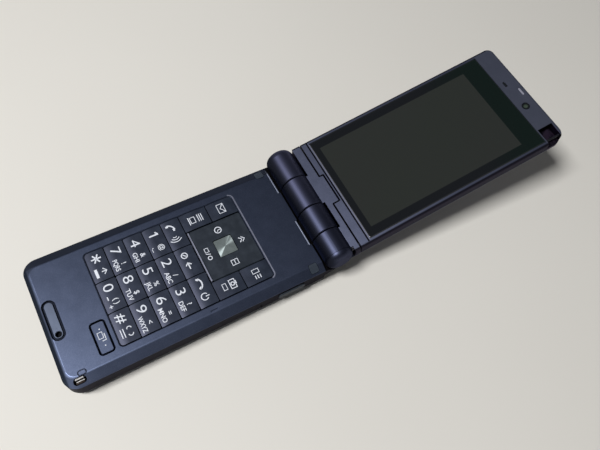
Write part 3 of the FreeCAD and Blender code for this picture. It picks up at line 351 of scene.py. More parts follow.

# %% [markdown]
# ## Case paint
# Masks find the places that get painted shade: the walls, darker towards the hinge, the gap behind the face, the
# left chamfer, the rounding and the edge at the microphone end, and the grooves round the microphone plate, the
# small key and the plunger. The two lips in front of the barrel get a painted highlight. Drawing them as colour
# keeps the shells single pieces.

# %% Finish: case paint
# Colours of painted shade, and of the lips' painted highlight.
wall_shade_colour, wall_rear_shade_colour = (0.028, 0.027, 0.029), (0.017, 0.016, 0.017)
chamfer_shade_colour = (0.036, 0.042, 0.062)
groove_shade_colour = (0.014, 0.017, 0.026)
end_edge_shade_colour = (0.026, 0.034, 0.050)
lip_highlight_colour = (0.30, 0.33, 0.42)
parting_height, foot_height, shoulder_height = 8.6, 1.4, 9.0
case_back = 44.2
lip_middle, lip_half, lip_height = 43.5, 0.36, 9.7
lip_spans = (-22.8, -11.15), (2.1, 13.1)
end_edge = -48.5
mic_middle_y, mic_straight_half, mic_groove_reach = -45.8, 5.15, 2.27
small_key_middle, small_key_half, small_key_corner = (12.35, -34.05), (5.8, 2.45), 1.2
plunger_middle, plunger_half, plunger_corner = (20.25, -43.4), (0.6, 1.1), 0.55


def base_case_paint():
    paint, painted, rough, relief = case_paint("case_paint", (0.082, 0.103, 0.164), (0.170, 0.195, 0.285))
    x, y, z = paint.place
    lip_span = within(x, *lip_spans[0]).most(within(x, *lip_spans[1]))
    # Painted highlight: the two lips in front of the barrel are paler.
    lip_highlight = near(y, lip_middle, lip_half) * (z > lip_height) * lip_span
    painted = paint.mix(lip_highlight, painted, lip_highlight_colour)
    # Painted shade on the left chamfer.
    left_chamfer_shade = x.ramp(-20.7, -21.2)
    painted = paint.mix(left_chamfer_shade * 0.75, painted, chamfer_shade_colour)
    on_top = z > shoulder_height
    # Painted shade in the grooves round the microphone plate, the small key and the plunger.
    from_mic = distance(y - mic_middle_y, (abs(x) - mic_straight_half).most(0.0))
    mic_groove = from_mic.ramp(mic_groove_reach + soft_edge, mic_groove_reach - soft_edge)
    small_key = near(from_outline(x, y, small_key_middle, small_key_half, small_key_corner), 0.0, 0.25)
    plunger = near(from_outline(x, y, plunger_middle, plunger_half, plunger_corner), 0.22, 0.18)
    groove_shade = mic_groove.most(small_key).most(plunger) * on_top
    # Painted shade dims the highlight on the rounding at the microphone end.
    end_round_shade = y.ramp(-38.0, -46.0) * z.ramp(10.395, 10.36) * on_top
    painted = paint.mix(end_round_shade * 0.45, painted, chamfer_shade_colour)
    # Painted shade on the edge at the microphone end.
    end_edge_shade = y.ramp(end_edge + 0.3, end_edge - 0.3)
    painted = paint.mix(end_edge_shade, painted, end_edge_shade_colour)
    painted = paint.mix(groove_shade, painted, groove_shade_colour)
    # Painted shade on the walls, darker towards the hinge, and in the gap behind the face.
    below_parting = z.ramp(parting_height + 0.1, parting_height - 0.1)
    shaded_wall_mask = below_parting * z.ramp(foot_height - 0.4, foot_height + 0.4)
    behind_shade = y.ramp(case_back - 0.3, case_back) * (z < 10.5)
    wall_shade = paint.mix(y.ramp(-25.0, 30.0), wall_shade_colour, wall_rear_shade_colour)
    painted = paint.mix(shaded_wall_mask.most(behind_shade), painted, wall_shade)
    finish_paint(paint, painted, rough + lip_highlight * 0.15 + end_round_shade * 0.16, relief)
    return paint


base_paint = base_case_paint()
print("case paint:", len(base_paint.tree.nodes), "nodes")

# %% [markdown]
# ## Lid paint
# The lid's inner face is a shade paler. It is flat, but every edge on it turns down sharply: the rim outside the
# glass, the joint of the hinge arm, the thin groove beside the glass and the corner recess. Those turned-down
# surfaces get painted shade, drawn from the lid's own coordinates, and the corner recess has paler patches over it.
# A thin painted highlight runs beside the glass, and the far end cap, past the glass, is given painted light, a
# shade brighter than the rest.

# %% Finish: lid paint with dark edges
seam_left, seam_right = 9.6, 8.45
tab_left, tab_right, tab_end = -8.3, 4.1, 11.2
joint_half = 0.3
groove_along = 12.2
inner_edge_height, middle_height = 1.37, -3.1
end_cap_start = 90.3
rim_start, lid_end = 23.15, 98.9
# Colours of painted shade, painted light and a painted highlight on the lid.
rim_shade_colour, seam_shade_colour = (0.034, 0.031, 0.046), (0.012, 0.011, 0.016)
recess_start_x, recess_span, recess_blotch_colour = 17.2, (91.1, 97.3), (0.085, 0.058, 0.095)
end_cap_light_colour, edge_highlight_colour = (0.42, 0.45, 0.56), (0.45, 0.47, 0.62)


def lid_coordinates(finish):
    """X, the distance along the lid and the height over its middle plane, in millimetres."""
    x, y, z = finish.place
    from_hinge, over_hinge = y - hinge_y, z - hinge_z
    along = from_hinge * math.cos(lid_tilt) + over_hinge * math.sin(lid_tilt)
    height = over_hinge * math.cos(lid_tilt) - from_hinge * math.sin(lid_tilt)
    return x, along, height


lid_paint, painted, rough, relief = case_paint("lid_paint", (0.150, 0.166, 0.250), (0.260, 0.285, 0.390))
x, along, height = lid_coordinates(lid_paint)
on_tab = within(x, tab_left, tab_right)
seam = on_tab * tab_end + (x < tab_left) * seam_left + (x > tab_right) * seam_right
joint = near(along, seam, joint_half + 0.04)
joint = joint.most(near(x, tab_left, joint_half) * within(along, seam_left, tab_end))
joint = joint.most(near(x, tab_right, joint_half) * within(along, seam_right, tab_end))
groove = near(along, groove_along, joint_half) * (abs(x) < 23.5)
rim = abs(x).ramp(rim_start, rim_start + 0.7).most(along.ramp(lid_end - 0.45, lid_end - 0.3))
below = height.ramp(inner_edge_height + 0.05, inner_edge_height - 0.05)
# Painted highlight: a thin pale line beside the glass.
edge_highlight = near(along, groove_along + 0.55, 0.14) * (abs(x) < 23.0)
# Painted light: the far end cap is a shade brighter.
end_cap_light = along.ramp(end_cap_start, end_cap_start + 0.5) * height.ramp(1.3, 1.42)
painted = lid_paint.mix(end_cap_light * 0.3, painted, end_cap_light_colour)
painted = lid_paint.mix(edge_highlight * 0.55, painted, edge_highlight_colour)
# Painted shade on the joint, the groove, the rim and the surfaces under the inner edge.
upper_half = height.ramp(middle_height - 0.1, middle_height + 0.1)
painted = lid_paint.mix(joint.most(groove).most(below) * upper_half, painted, seam_shade_colour)
painted = lid_paint.mix(rim * (along > 1.0) * upper_half, painted, rim_shade_colour)
# Paler patches laid by noise over the painted shade of the corner recess.
recess = (x > recess_start_x) * within(along, *recess_span) * below * upper_half
blotches = lid_paint.noise(2.6, 2.0).ramp(0.35, 0.6)
painted = lid_paint.mix(recess * blotches, painted, recess_blotch_colour)
finish_paint(lid_paint, painted, rough, relief)
print("lid paint:", len(lid_paint.tree.nodes), "nodes")

# %% [markdown]
# ## Key plastic
# The keys are black moulded plastic with a fine spark-eroded texture. Slow patches of wear change both their
# colour and their roughness a little, so no two keys look quite alike. Their reflection is tinted blue, as the
# photograph shows it where the caps slope towards the light.

# %% Finish: key plastic


def key_plastic(name, colour, rough, grain_depth):
    plastic = Finish(name, colour, rough, 0.0, Specular_IOR_Level=0.7, Specular_Tint=(0.72, 0.74, 1.0))
    texture = plastic.noise(0.16, 2.0)
    patch = plastic.noise(3.5, 3.0)
    lighter = tuple(min(1.0, channel * 1.9 + 0.004) for channel in colour)
    plastic.colour(plastic.mix(patch.ramp(0.35, 0.75) * 0.45, colour, lighter))
    plastic.roughness((patch - 0.5) * 0.14 + rough)
    plastic.bump(texture, grain_depth)
    return plastic


number_plastic = key_plastic("number_key_plastic", (0.012, 0.017, 0.026), 0.44, 0.010)
nav_plastic = key_plastic("navigation_plastic", (0.016, 0.021, 0.025), 0.40, 0.006)
print("key plastics made")

# %% [markdown]
# ## Screen glass
# The window is one sheet of toughened glass, printed black from behind round the picture area. Unlit, the picture
# area is a slightly paler grey-green than the print. Drawing both on the glass keeps the surface one clean
# reflecting sheet, and the lid's own frame says where the picture area ends. The ground edge of the sheet is much
# rougher than the rest, and along the hinge end it carries a painted highlight.

# %% Finish: printed screen glass
screen_half_width = 18.95
screen_start, screen_end = 15.8, 82.2
print_softness = 0.12
glass_half_width = 22.7
glass_start, glass_end = 12.9, 90.5
bevel_width, bevel_highlight_colour = 0.4, (0.20, 0.205, 0.30)

glass = Finish("screen_glass", (0.010, 0.012, 0.012), 0.06, 0.0, IOR=1.5)
x, along, height = lid_coordinates(glass)
inside_x = abs(x).ramp(screen_half_width + print_softness, screen_half_width - print_softness)
inside_low = along.ramp(screen_start - print_softness, screen_start + print_softness)
inside_high = along.ramp(screen_end + print_softness, screen_end - print_softness)
picture = inside_x * inside_low * inside_high
cloud = glass.noise(40.0, 1.0)
unlit = glass.mix(cloud, (0.0235, 0.0275, 0.0225), (0.0255, 0.0262, 0.0248))
print_black = glass.mix(along.ramp(60.0, 88.0), (0.0085, 0.0095, 0.0110), (0.0050, 0.0100, 0.0080))
sheet = glass.mix(picture, print_black, unlit)
low_edge = along < glass_start + bevel_width
side_edge = abs(x) > glass_half_width - bevel_width
edge = low_edge.most(side_edge).most(along > glass_end - bevel_width)
# Painted highlight along the bevel at the hinge end of the sheet.
low_edge_highlight = along < glass_start + 0.2
glass.colour(glass.mix(low_edge_highlight * 0.5, sheet, bevel_highlight_colour))
smear = glass.noise(14.0, 5.0, (1.0, 0.45, 1.0))
glass.roughness((smear.ramp(0.45, 0.85) * 0.05 + 0.045).most(edge * 0.6))
print("glass picture area", screen_half_width * 2, "by", round(screen_end - screen_start, 1), "mm")

# %% [markdown]
# ## Metals
# The metals that show are the plated strips round the keypad, the satin plate over the microphone, the pale grille
# of the receiver, the blued pins, and the steel of hook and screws. All are brushed: noise stretched up to twenty
# times along one direction varies colour, roughness and relief together. The hook's outer part lies in the dark of
# its slot, so that part is painted in shade.

# %% Finish: plated, brushed and turned metal


def brush(finish, rough, size, stretch):
    """Varies roughness and relief along fine lines, and returns the lines."""
    lines = finish.noise(size, 3.0, stretch)
    finish.roughness((lines - 0.5) * 0.22 + rough)
    finish.bump(lines, 0.004)
    return lines


def metal(name, colour, rough, size=0.12, stretch=(0.05, 1.0, 1.0)):
    finish = Finish(name, colour, rough, 1.0)
    lines = brush(finish, rough, size, stretch)
    blotches = finish.noise(4.0, 3.0)
    duller = tuple(channel * 0.72 for channel in colour)
    finish.colour(finish.mix(blotches.ramp(0.4, 0.8) * 0.6 + lines * 0.2, colour, duller))
    return finish


plated = metal("plated_trim", (0.54, 0.56, 0.69), 0.44)
satin_plate = metal("satin_microphone_plate", (0.135, 0.158, 0.215), 0.44)
grille = metal("receiver_grille", (0.86, 0.86, 1.0), 0.5)
steel = metal("turned_steel", (0.55, 0.54, 0.52), 0.26, 0.2, (1.0, 0.08, 1.0))
hook_colour, hook_shade, hook_roughness = (0.46, 0.45, 0.43), (0.040, 0.030, 0.026), 0.30
hook_steel = Finish("hook_steel", hook_colour, hook_roughness, 1.0)
x, y, z = hook_steel.place
# Painted shade on the hook's outer part, in the dark of its slot.
hook_steel.colour(hook_steel.mix(x.ramp(22.15, 22.45), hook_colour, hook_shade))
brush(hook_steel, hook_roughness, 0.12, (0.05, 1.0, 1.0))
blued = metal("blued_pin", (0.10, 0.10, 0.12), 0.4)
tin = metal("tinned_shield", (0.50, 0.50, 0.49), 0.32, 0.5, (1.0, 1.0, 1.0))
foil = metal("battery_can", (0.42, 0.43, 0.45), 0.38, 0.3, (1.0, 0.1, 1.0))
print("metals made")

# %% [markdown]
# ## Centre key
# The square key in the middle of the navigation plate is turned metal: its tool left rings far too fine to see,
# but they spread the window's reflection into a bright wedge on each side of the middle, like the light on a
# record. The shader's own anisotropy does that: it runs round the middle of the piece, and a quarter turn makes it
# spread the light outward, across the rings. Under them the plating is a smoky grey-green.

# %% Finish: turned and smoked centre key
smoky, pale_plating = (0.20, 0.235, 0.225), (0.30, 0.345, 0.34)
ring_spread = {"Anisotropic": 0.92, "Anisotropic_Rotation": 0.25}
centre_plate = Finish("turned_centre_key", pale_plating, 0.42, 0.5, **ring_spread)
clouding = centre_plate.noise(1.6, 3.0)
ring_marks = centre_plate.noise(0.10, 2.0)
centre_plate.colour(centre_plate.mix(clouding, smoky, pale_plating))
centre_plate.roughness(clouding * 0.08 + 0.38)
centre_plate.bump(ring_marks, 0.002)
print("centre key finish made")

# %% [markdown]
# ## Rubber and ink
# Rubber pads are matte with a coarse grain of pores. Ink is a white screen print, slightly uneven where it lies
# thinner, with hardly any relief. One plain colour would do from afar, but close up it looks like plastic, so one
# noise drives colour and relief together.

# %% Finish: rubber and ink
rubber = Finish("rubber_pad", (0.020, 0.026, 0.038), 0.62, 0.0, Specular_IOR_Level=0.35)
pore = rubber.noise(0.18, 3.0)
rubber.colour(rubber.mix(pore, (0.018, 0.026, 0.038), (0.034, 0.044, 0.060)))
rubber.bump(pore, 0.03)

ink = Finish("white_ink", (0.70, 0.73, 0.78), 0.55, 0.0)
print_grain = ink.noise(0.12, 2.0)
ink.colour(ink.mix(print_grain.ramp(0.3, 0.7), (0.62, 0.65, 0.70), (0.80, 0.82, 0.86)))
ink.bump(print_grain, 0.004)
print("rubber and ink made")

# %% [markdown]
# ## The pieces inside
# Inside the case are a circuit board with its solder resist and copper, and plain black plastics, which show when
# a cover slides away. Tracks could be cut as shapes, but they are seen only through a gap, so they are a folded
# coordinate, cut off by noise so that they look laid out. Behind the microphone's hole is a deeper black.

# %% Finish: the pieces inside
black_plastic = key_plastic("inner_black_plastic", (0.022, 0.022, 0.024), 0.48, 0.012)

deep_black = Finish("deep_black", (0.004, 0.004, 0.005), 0.8, 0.0, Specular_IOR_Level=0.08)
weave = deep_black.noise(0.2, 2.0)
deep_black.colour(deep_black.mix(weave, (0.003, 0.003, 0.004), (0.009, 0.009, 0.011)))
deep_black.bump(weave, 0.02)

board_green = Finish("circuit_board", (0.02, 0.10, 0.05), 0.38, 0.0, Coat_Weight=0.3, Coat_Roughness=0.2)
x, y, z = board_green.place
fine_x = x.math("PINGPONG", x, 0.55)
fine_y = y.math("PINGPONG", y, 0.85)
tracks = (fine_x < 0.09).most((fine_y < 0.10) * (board_green.noise(3.0) > 0.52))
copper = tracks * (board_green.noise(7.0, 1.0) > 0.45)
board_green.colour(board_green.mix(copper * 0.6, (0.016, 0.085, 0.045), (0.06, 0.20, 0.09)))
board_green.bump(copper, 0.03)
print("inner finishes made")

# %% [markdown]
# ## Windows and lenses
# Small windows are nearly black and very smooth, under a clear coat. A lens shows a few coloured rings round its
# middle, the edges of its glass elements and its coating. The elements could be modelled, but under dark glass the
# rings are all that shows of them, so each ring is a mask on the distance from the middle.

# %% Finish: windows and lenses
dark_window = Finish("dark_window", (0.006, 0.007, 0.009), 0.05, 0.0, Coat_Weight=0.7, Coat_Roughness=0.03)
depth_tint = dark_window.noise(3.0, 2.0)
dark_window.colour(dark_window.mix(depth_tint, (0.005, 0.006, 0.008), (0.012, 0.014, 0.018)))
dark_window.roughness(depth_tint * 0.05 + 0.03)


def lens_glass(name, middle, rings, on_lid):
    """Dark glass with coloured rings round its middle, each from an inner radius to an outer one."""
    lens = Finish(name, (0.006, 0.007, 0.009), 0.08, 0.0, Coat_Weight=0.7, Coat_Roughness=0.05)
    across, along, height = lid_coordinates(lens) if on_lid else lens.place
    from_middle = distance(across - middle[0], along - middle[1])
    tint = lens.mix(lens.noise(0.8, 2.0), (0.005, 0.006, 0.008), (0.010, 0.012, 0.014))
    for inner, outer, ring_colour in rings:
        tint = lens.mix(within(from_middle, inner, outer), tint, ring_colour)
    lens.colour(tint)
    lens.roughness(lens.noise(1.5, 2.0) * 0.06 + 0.06)
    return lens


front_lens_middle, main_lens_middle = (6.0, 93.9), (-12.0, 32.65)
front_lens = lens_glass("front_lens", front_lens_middle, [(0.0, 0.85, (0.048, 0.066, 0.048))], on_lid=True)
main_lens = lens_glass("main_lens", main_lens_middle, [
    (3.05, 3.35, (0.11, 0.12, 0.14)), (2.2, 2.5, (0.030, 0.026, 0.046)), (0.0, 1.0, (0.012, 0.022, 0.040)),
], on_lid=False)
print("windows and lenses made")

# %% [markdown]
# ## Giving the mechanical pieces their finishes
# Every node keeps its shape and gets its finish by name. A key that isn't named here is moulded in the number
# keys' plastic, and anything else is an inner part in black plastic.

# %% Finishes by node
pieces_of = [
    (base_paint, "keypad_case rear_case battery_cover side_cover key_multi lock_plunger"),
    (lid_paint, "hinge_arm display_front display_back"),
    (glass, "glass_window"),
    (dark_window, "lcd_panel sensor_window sub_window"),
    (main_lens, "camera_window"),
    (front_lens, "front_camera"),
    (plated, "keypad_trim"),
    (grille, "receiver_slot"),
    (satin_plate, "mic_plate"),
    (hook_steel, "latch_hook"),
    (blued, "corner_pin swing_pin"),
    (steel, "case_screws hinge_shaft hinge_unit vibration_motor"),
    (tin, "shield_cans connector_socket card_socket"),
    (foil, "battery_pack"),
    (centre_plate, "nav_centre"),
    (nav_plastic, "nav_ring"),
    (rubber, "hinge_bumpers key_mat side_key"),
    (deep_black, "microphone"),
    (board_green, "main_board display_board"),
]
finish_of = {name: finish for finish, names in pieces_of for name in names.split()}
for name, node in nodes.items():
    unnamed = number_plastic if name.startswith("key_") else black_plastic
    finish = finish_of.get(name, unnamed)
    node.data.materials.clear()
    node.data.materials.append(finish.material)
print("finishes on", len(nodes), "nodes")

# %% [markdown]
# ## Small helpers for modelling
# Operators act on whatever is selected, and loading leaves the whole frame selected, so each piece starts from an
# empty selection. A finished piece keeps its object at the origin with its place in its mesh, as the mechanical
# pieces do: then a pattern in object coordinates means the same millimetres on every piece.

# %% Helpers: selection, placing and finishing a piece
smooth_angle = math.radians(35)


def deselect():
    for thing in bpy.context.selected_objects:
        thing.select_set(False)


def only(piece):
    deselect()
    piece.select_set(True)
    bpy.context.view_layer.objects.active = piece


def settle(piece, matrix=None):
    """Moves a piece by a matrix and leaves the place in its mesh."""
    if matrix is not None:
        piece.matrix_world = matrix @ piece.matrix_world
    only(piece)
    bpy.ops.object.transform_apply(location=True, rotation=True, scale=True)


def apply_modifier(piece, kind, **settings):
    only(piece)
    bpy.ops.object.modifier_add(type=kind)
    modifier = piece.modifiers[-1]
    for key, value in settings.items():
        setattr(modifier, key, value)
    bpy.ops.object.modifier_apply(modifier=modifier.name)


def finish_piece(piece, name, body, finish):
    piece.name = name
    piece.data.name = name
    piece.data.materials.clear()
    piece.data.materials.append(finish.material)
    only(piece)
    bpy.ops.object.shade_smooth_by_angle(angle=smooth_angle)
    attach(piece, body)


print("edges sharper than", round(math.degrees(smooth_angle)), "degrees stay sharp")

# %% [markdown]
# ## What is printed on the keys
# Key legends are a white screen print only a few hundredths of a millimetre thick. Painting them in a texture
# would need an image; cut as shapes they stay sharp at any distance. So each mark is made flat on the table, and
# characters come from a text object turned into a mesh. Its font size isn't the height of a capital, so one H is
# measured first. The digits and the standard dial letters are kept; every other legend is a plain symbol.

# %% Helpers: flat characters
bold, slim = 0.012, -0.004


def flat_text(characters):
    deselect()
    bpy.ops.object.text_add(location=(0, 0, 0))
    label = bpy.context.object
    label.data.body = characters
    label.data.resolution_u = 5
    return label


def spread(piece):
    """The low and the high corner of a flat piece."""
    points = [vertex.co for vertex in piece.data.vertices]
    low = Vector(min(point[i] for point in points) for i in range(3))
    high = Vector(max(point[i] for point in points) for i in range(3))
    return low, high


measure = flat_text("H")
bpy.ops.object.convert(target="MESH")
low, high = spread(measure)
capital_height = high.y - low.y
bpy.data.objects.remove(measure)


def characters(text, x, y, height, widen=1.0, weight=0.0):
    """Characters whose capitals are `height` tall, centred on x, y; all in millimetres."""
    label = flat_text(text)
    label.data.offset = weight
    bpy.ops.object.convert(target="MESH")
    label = bpy.context.object
    low, high = spread(label)
    factor = height * mm / capital_height
    centre = Matrix.Translation((-(low.x + high.x) / 2, -capital_height / 2, 0))
    size = Matrix.Diagonal((factor * widen, factor, 1, 1))
    settle(label, Matrix.Translation((x * mm, y * mm, 0)) @ size @ centre)
    return label


print("capitals are", round(capital_height, 3), "of the text size")

# %% [markdown]
# ## Strokes as ribbons
# A symbol is drawn in strokes of even width. Each could be a flat mesh with its corners worked out by hand. A curve
# with an extrusion is shorter: it gives a band, and turned by a quarter the band lies flat, with its corners mitred
# by itself.

# %% Helper: flat ribbons
quarter_turn = math.pi / 2


def ribbon(points, width, closed=False):
    """A flat line through points in millimetres, drawn by a curve whose band is turned to lie flat."""
    path = bpy.data.curves.new("ribbon", "CURVE")
    path.dimensions = "3D"
    path.twist_mode = "Z_UP"
    path.extrude = width * mm / 2
    spline = path.splines.new("POLY")
    spline.points.add(len(points) - 1)
    for point, (x, y) in zip(spline.points, points):
        point.co = (x * mm, y * mm, 0, 1)
        point.tilt = quarter_turn
    spline.use_cyclic_u = closed
    line = bpy.data.objects.new("ribbon", path)
    bpy.context.scene.collection.objects.link(line)
    only(line)
    bpy.ops.object.convert(target="MESH")
    return bpy.context.object


print("strokes are bands turned by", round(math.degrees(quarter_turn)), "degrees")

# %% [markdown]
# ## Pressing a print onto its key
# The print follows the slope of its cap. The flat marks of one key are joined, cut finely enough to bend, held over
# the cap, pressed down onto it with a Shrinkwrap, and given the film's thickness. Then the film rides with the key.

# %% Helper: pressing a print on
film_thickness = 0.03 * mm
legend_middle_y = 0.25 * mm
drop_height = 2 * mm
face_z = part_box("keypad_case")[1].z


def press_on(node_name, marks):
    """Joins flat marks, presses them onto the node from above and lets them ride with it."""
    only(marks[0])
    for mark in marks[1:]:
        mark.select_set(True)
    bpy.ops.object.join()
    film = bpy.context.object
    settle(film, Matrix.Translation((0, legend_middle_y, face_z + drop_height)))
    bpy.ops.object.mode_set(mode="EDIT")
    bpy.ops.mesh.select_all(action="SELECT")
    bpy.ops.mesh.quads_convert_to_tris()
    bpy.ops.mesh.subdivide(number_cuts=2)
    bpy.ops.object.mode_set(mode="OBJECT")
    apply_modifier(film, "SHRINKWRAP", target=nodes[node_name], wrap_method="PROJECT", use_project_z=True,
                   use_negative_direction=True, use_positive_direction=False, offset=film_thickness)
    apply_modifier(film, "SOLIDIFY", thickness=film_thickness, offset=0.0)
    finish_piece(film, node_name + "_print", nodes[node_name]["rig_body"], ink)


print("film thickness", round(film_thickness / mm, 3), "mm")

# %% [markdown]
# ## Number keys
# The digits are broad and low, 3.4 mm tall, with an even stroke. To the right of each stand the standard dial
# letters, and over those one small punctuation mark. The font's 1 is a bare bar, so it is given its flag.

# %% Print on the number keys
digit_height, letter_height, mark_height = 3.4, 1.55, 1.7
digit_x = (-14.7, -2.9, 9.1)
letter_x = (-9.4, 2.6, 14.3)
row_y = {"top": -5.7, "upper": -12.7, "lower": -19.7, "bottom": -26.7}
number_prints = {
    "key_1": ("1", 0, "top", "", "@"),
    "key_2": ("2", 1, "top", "ABC", "/"),
    "key_3": ("3", 2, "top", "DEF", "?"),
    "key_4": ("4", 0, "upper", "GHI", "&"),
    "key_5": ("5", 1, "upper", "JKL", "%"),
    "key_6": ("6", 2, "upper", "MNO", "="),
    "key_7": ("7", 0, "lower", "PQRS", "!"),
    "key_8": ("8", 1, "lower", "TUV", "$"),
    "key_9": ("9", 2, "lower", "WXYZ", "<"),
}


def digit_mark(digit, column, y):
    return characters(digit, digit_x[column], y + 0.1, digit_height, widen=1.26, weight=slim)


def small_mark(text, x, y):
    return characters(text, x, y, mark_height, weight=bold)


for key, (digit, column, row, letters, mark) in number_prints.items():
    y = row_y[row]
    marks = [digit_mark(digit, column, y), small_mark(mark, letter_x[column] + 0.1, y + 1.0)]
    if digit == "1":
        marks.append(ribbon([(-15.75, y + 0.85), (-14.75, y + 1.62)], 0.5))
    if letters:
        across = 1.0 if len(letters) == 3 else 0.84
        marks.append(characters(letters, letter_x[column], y - 1.5, letter_height, across, bold))
    else:
        marks.append(small_mark("._", letter_x[column], y - 1.3))
    press_on(key, marks)
print("keys 1 to 9 printed")

# %% [markdown]
# ## The bottom row
# Zero, star and hash have other small marks each, so they are written out. The font's star is small and raised,
# and the keypad's is large and even, so it is drawn as three crossing ribbons. Brackets are arcs of a circle.

# %% Print on the bottom row
hash_height = 3.2


def star(x, y, reach, width):
    """Three ribbons that cross, for a six-pointed star."""
    lines = []
    for angle in (90, 30, 150):
        dx, dy = reach * math.cos(math.radians(angle)), reach * math.sin(math.radians(angle))
        lines.append(ribbon([(x - dx, y - dy), (x + dx, y + dy)], width))
    return lines


def arc(x, y, radius, start=0, stop=360, steps=20):
    angles = [math.radians(start + (stop - start) * i / steps) for i in range(steps + 1)]
    return [(x + radius * math.cos(a), y + radius * math.sin(a)) for a in angles]


y = row_y["bottom"]
press_on("key_0", [
    digit_mark("0", 1, y),
    small_mark("( )", letter_x[1], y + 1.0),
    ribbon([(0.1, y - 1.4), (1.5, y - 1.4)], 0.35),
    small_mark("+", 4.0, y - 1.4),
])
press_on("key_star", [
    *star(digit_x[0] - 0.1, y + 0.15, 1.75, 0.5),
    ribbon([(-10.6, y + 0.9), (-9.4, y + 2.0), (-8.2, y + 0.9)], 0.34),
    ribbon([(-9.4, y + 1.8), (-9.4, y + 0.3)], 0.34),
    ribbon([(-11.0, y - 1.5), (-7.6, y - 1.5)], 0.95),
])
press_on("key_hash", [
    characters("#", digit_x[2], y + 0.1, hash_height, widen=1.2, weight=0.004),
    ribbon(arc(13.4, y + 1.1, 0.75, 90, 270, 8), 0.3),
    ribbon(arc(15.2, y + 1.1, 0.75, -90, 90, 8), 0.3),
    ribbon([(12.7, y - 0.9), (15.9, y - 0.9)], 0.3),
    ribbon([(12.7, y - 1.8), (15.9, y - 1.8)], 0.3),
])
print("bottom row printed")

# %% [markdown]
# ## Rings, frames, dots and handsets
# The function keys' symbols share a few outlines, so each outline is one helper. A ring and a frame are closed
# ribbons, a dot is a filled circle, and a handset is an arc with two short thick ends.

# %% Helpers: outlines of symbols


def ring(x, y, radius, width):
    return ribbon(arc(x, y, radius)[:-1], width, closed=True)


def frame_line(x, y, across, up, width):
    dx, dy = across / 2, up / 2
    corners = [(x - dx, y - dy), (x + dx, y - dy), (x + dx, y + dy), (x - dx, y + dy)]
    return ribbon(corners, width, closed=True)


def dot(x, y, radius):
    deselect()
    place = (x * mm, y * mm, 0)
    bpy.ops.mesh.primitive_circle_add(vertices=16, radius=radius * mm, fill_type="NGON", location=place)
    spot = bpy.context.object
    settle(spot)
    return spot


def handset(x, y, radius, start, stop, width):
    body = arc(x, y, radius, start, stop, 12)
    inner = [arc(x, y, radius * 0.72, angle, angle, 1)[0] for angle in (start, stop)]
    ends = [ribbon([body[0], inner[0]], width * 1.9), ribbon([body[-1], inner[1]], width * 1.9)]
    return [ribbon(body, width)] + ends


print("a full ring is drawn in", len(arc(0, 0, 1)) - 1, "steps")

# %% [markdown]
# ## Call, clear and end
# The row over the digits carries plain symbols at the size and place of the real legends: a lifted handset with
# waves, a ring and an arrow, and a laid handset with a power ring.

# %% Print on call, clear and end
waves = [ribbon(arc(-11.6, 0.9, 0.9 * i, -50, 50, 4 + 2 * i), 0.3) for i in (1, 2, 3)]
press_on("key_call", handset(-13.6, -0.4, 2.5, 95, 175, 0.5) + waves)
press_on("key_clear", [
    ring(-2.7, 0.9, 1.05, 0.36),
    ribbon([(-3.2, 0.4), (-2.2, 1.4)], 0.34),
    ribbon([(2.9, 0.9), (0.3, 0.9)], 0.42),
    ribbon([(1.3, 1.9), (0.3, 0.9), (1.3, -0.1)], 0.42),
])
press_on("key_end", handset(9.3, -0.4, 2.5, 40, 140, 0.5) + [
    ribbon(arc(14.4, 1.0, 1.25, -235, 55, 14), 0.34),
    ribbon([(14.4, 1.3), (14.4, 2.7)], 0.34),
])
print("call, clear and end printed")

# %% [markdown]
# ## Keys beside the navigation plate, and the single key
# Left of the plate are an envelope and a menu, right of it a page with lines and a camera. The single key under the
# digits has a frame and an arrow between two dots. Lines that repeat are drawn in a loop.

# %% Print on the side keys and the single key
press_on("key_mail", [
    frame_line(-14.5, 20.6, 3.7, 2.5, 0.32),
    ribbon([(-16.3, 21.8), (-14.5, 20.3), (-12.7, 21.8)], 0.32),
])
menu_lines = [ribbon([(-16.0, line_y), (-13.0, line_y)], 0.3) for line_y in (12.9, 12.15, 11.4)]
press_on("key_menu", menu_lines + [
    frame_line(-14.4, 9.3, 2.4, 1.7, 0.34),
    ribbon([(-16.0, 7.9), (-12.8, 7.9)], 0.34),
])
page_lines = [ribbon([(15.2, line_y), (16.6, line_y)], 0.34) for line_y in (21.6, 20.7, 19.8)]
press_on("key_guide", [frame_line(13.6, 20.6, 1.5, 2.4, 0.32)] + page_lines)
press_on("key_camera", [
    frame_line(14.3, 11.5, 3.3, 2.0, 0.42),
    ring(14.3, 11.5, 0.62, 0.36),
    ribbon([(13.5, 12.75), (14.7, 12.75)], 0.4),
    frame_line(14.3, 8.5, 2.4, 1.3, 0.3),
])
press_on("key_multi", [
    frame_line(11.6, -34.6, 2.2, 1.5, 0.28),
    ribbon([(11.3, -33.3), (13.6, -33.3), (13.6, -34.6)], 0.28),
    dot(15.3, -34.2, 0.22),
    dot(9.4, -34.2, 0.22),
])
print("side keys and single key printed")

# %% [markdown]
# ## The navigation plate
# Four small symbols stand round the centre key: two chevrons at the top, a clock on the left, a page on the right
# and a frame and ring with a slash between them below.

# %% Print on the navigation plate
press_on("nav_ring", [
    ribbon([(-0.9, 22.0), (0.1, 23.0), (1.1, 22.0)], 0.34),
    ribbon([(-0.9, 21.0), (0.1, 22.0), (1.1, 21.0)], 0.34),
    ring(-6.9, 15.8, 1.2, 0.34),
    ribbon([(-6.9, 16.6), (-6.9, 15.8), (-6.3, 15.4)], 0.3),
    frame_line(7.2, 15.9, 2.0, 2.4, 0.34),
    ribbon([(6.5, 15.9), (7.9, 15.9)], 0.3),
    frame_line(-1.2, 8.7, 1.6, 1.3, 0.3),
    ribbon([(0.1, 7.9), (0.7, 9.5)], 0.28),
    ring(2.0, 8.7, 0.7, 0.3),
])

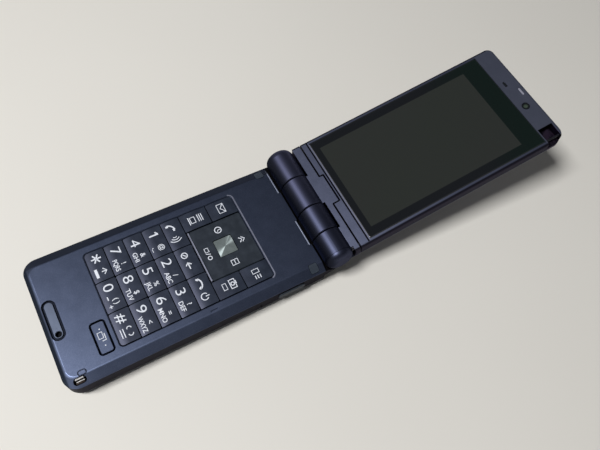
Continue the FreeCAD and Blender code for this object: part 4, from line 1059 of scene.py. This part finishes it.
# %% [markdown]
# ## The table
# A plain pale sheet stands for the table, a hair below the phone's underside so that the two don't flicker. It is
# the stage and not part of the phone, and it catches the shadow.

# %% Table
table_paint = Finish("table_top", (0.72, 0.69, 0.62), 0.75, 0.0)
table_cloud = table_paint.noise(180.0, 2.0)
table_paint.colour(table_paint.mix(table_cloud, (0.70, 0.67, 0.60), (0.75, 0.72, 0.65)))

deselect()
bpy.ops.mesh.primitive_plane_add(size=6.0, location=(0, 0, -0.05 * mm))
table_top = bpy.context.object
table_top.name = "table_top"
settle(table_top)
table_top.data.materials.append(table_paint.material)
print("table", tuple(round(length, 1) for length in table_top.dimensions), "m")

# %% [markdown]
# ## The light
# In the photograph the paint is brightest at the microphone end and on the plate behind the barrel, and dark where
# it faces the room, so one lamp about a quarter of a metre wide stands high up beyond the microphone end. It gives
# the soft shadow on the right too. The world is a dim room overhead that turns pale towards the horizon, so a low
# camera sees a pale backdrop, and so do the glass and the metal.

# %% World and lamp
horizon, overhead = (0.12, (0.62, 0.61, 0.59)), (0.36, (0.050, 0.053, 0.060))
lamp_place, lamp_size, lamp_power = Vector((-0.038, -0.447, 0.838)), (0.26, 0.24), 10.0

world = bpy.data.worlds.new("studio")
world.use_nodes = True
bpy.context.scene.world = world
room = Wiring(world.node_tree)
direction = room.add("ShaderNodeTexCoord", out="Generated")
upward = room.add("ShaderNodeSeparateXYZ", inputs={0: direction}, out="Z")
air = room.add("ShaderNodeValToRGB", {"stops": (horizon, overhead)}, {0: upward})
background = room.tree.nodes["Background"]
room.feed(background.inputs["Color"], air)
room.feed(background.inputs["Strength"], 1.0)

bpy.ops.object.light_add(type="AREA", location=lamp_place)
lamp = bpy.context.object
lamp.name = "window"
lamp.data.shape = "RECTANGLE"
lamp.data.size, lamp.data.size_y = lamp_size
lamp.data.energy = lamp_power
lamp.data.color = (0.96, 0.97, 1.0)
lamp.rotation_euler = (-lamp_place).to_track_quat("-Z", "Y").to_euler()

bpy.context.scene.view_settings.view_transform = "Standard"
print("lamp", round(lamp_place.length, 2), "m from the phone, power", lamp_power)
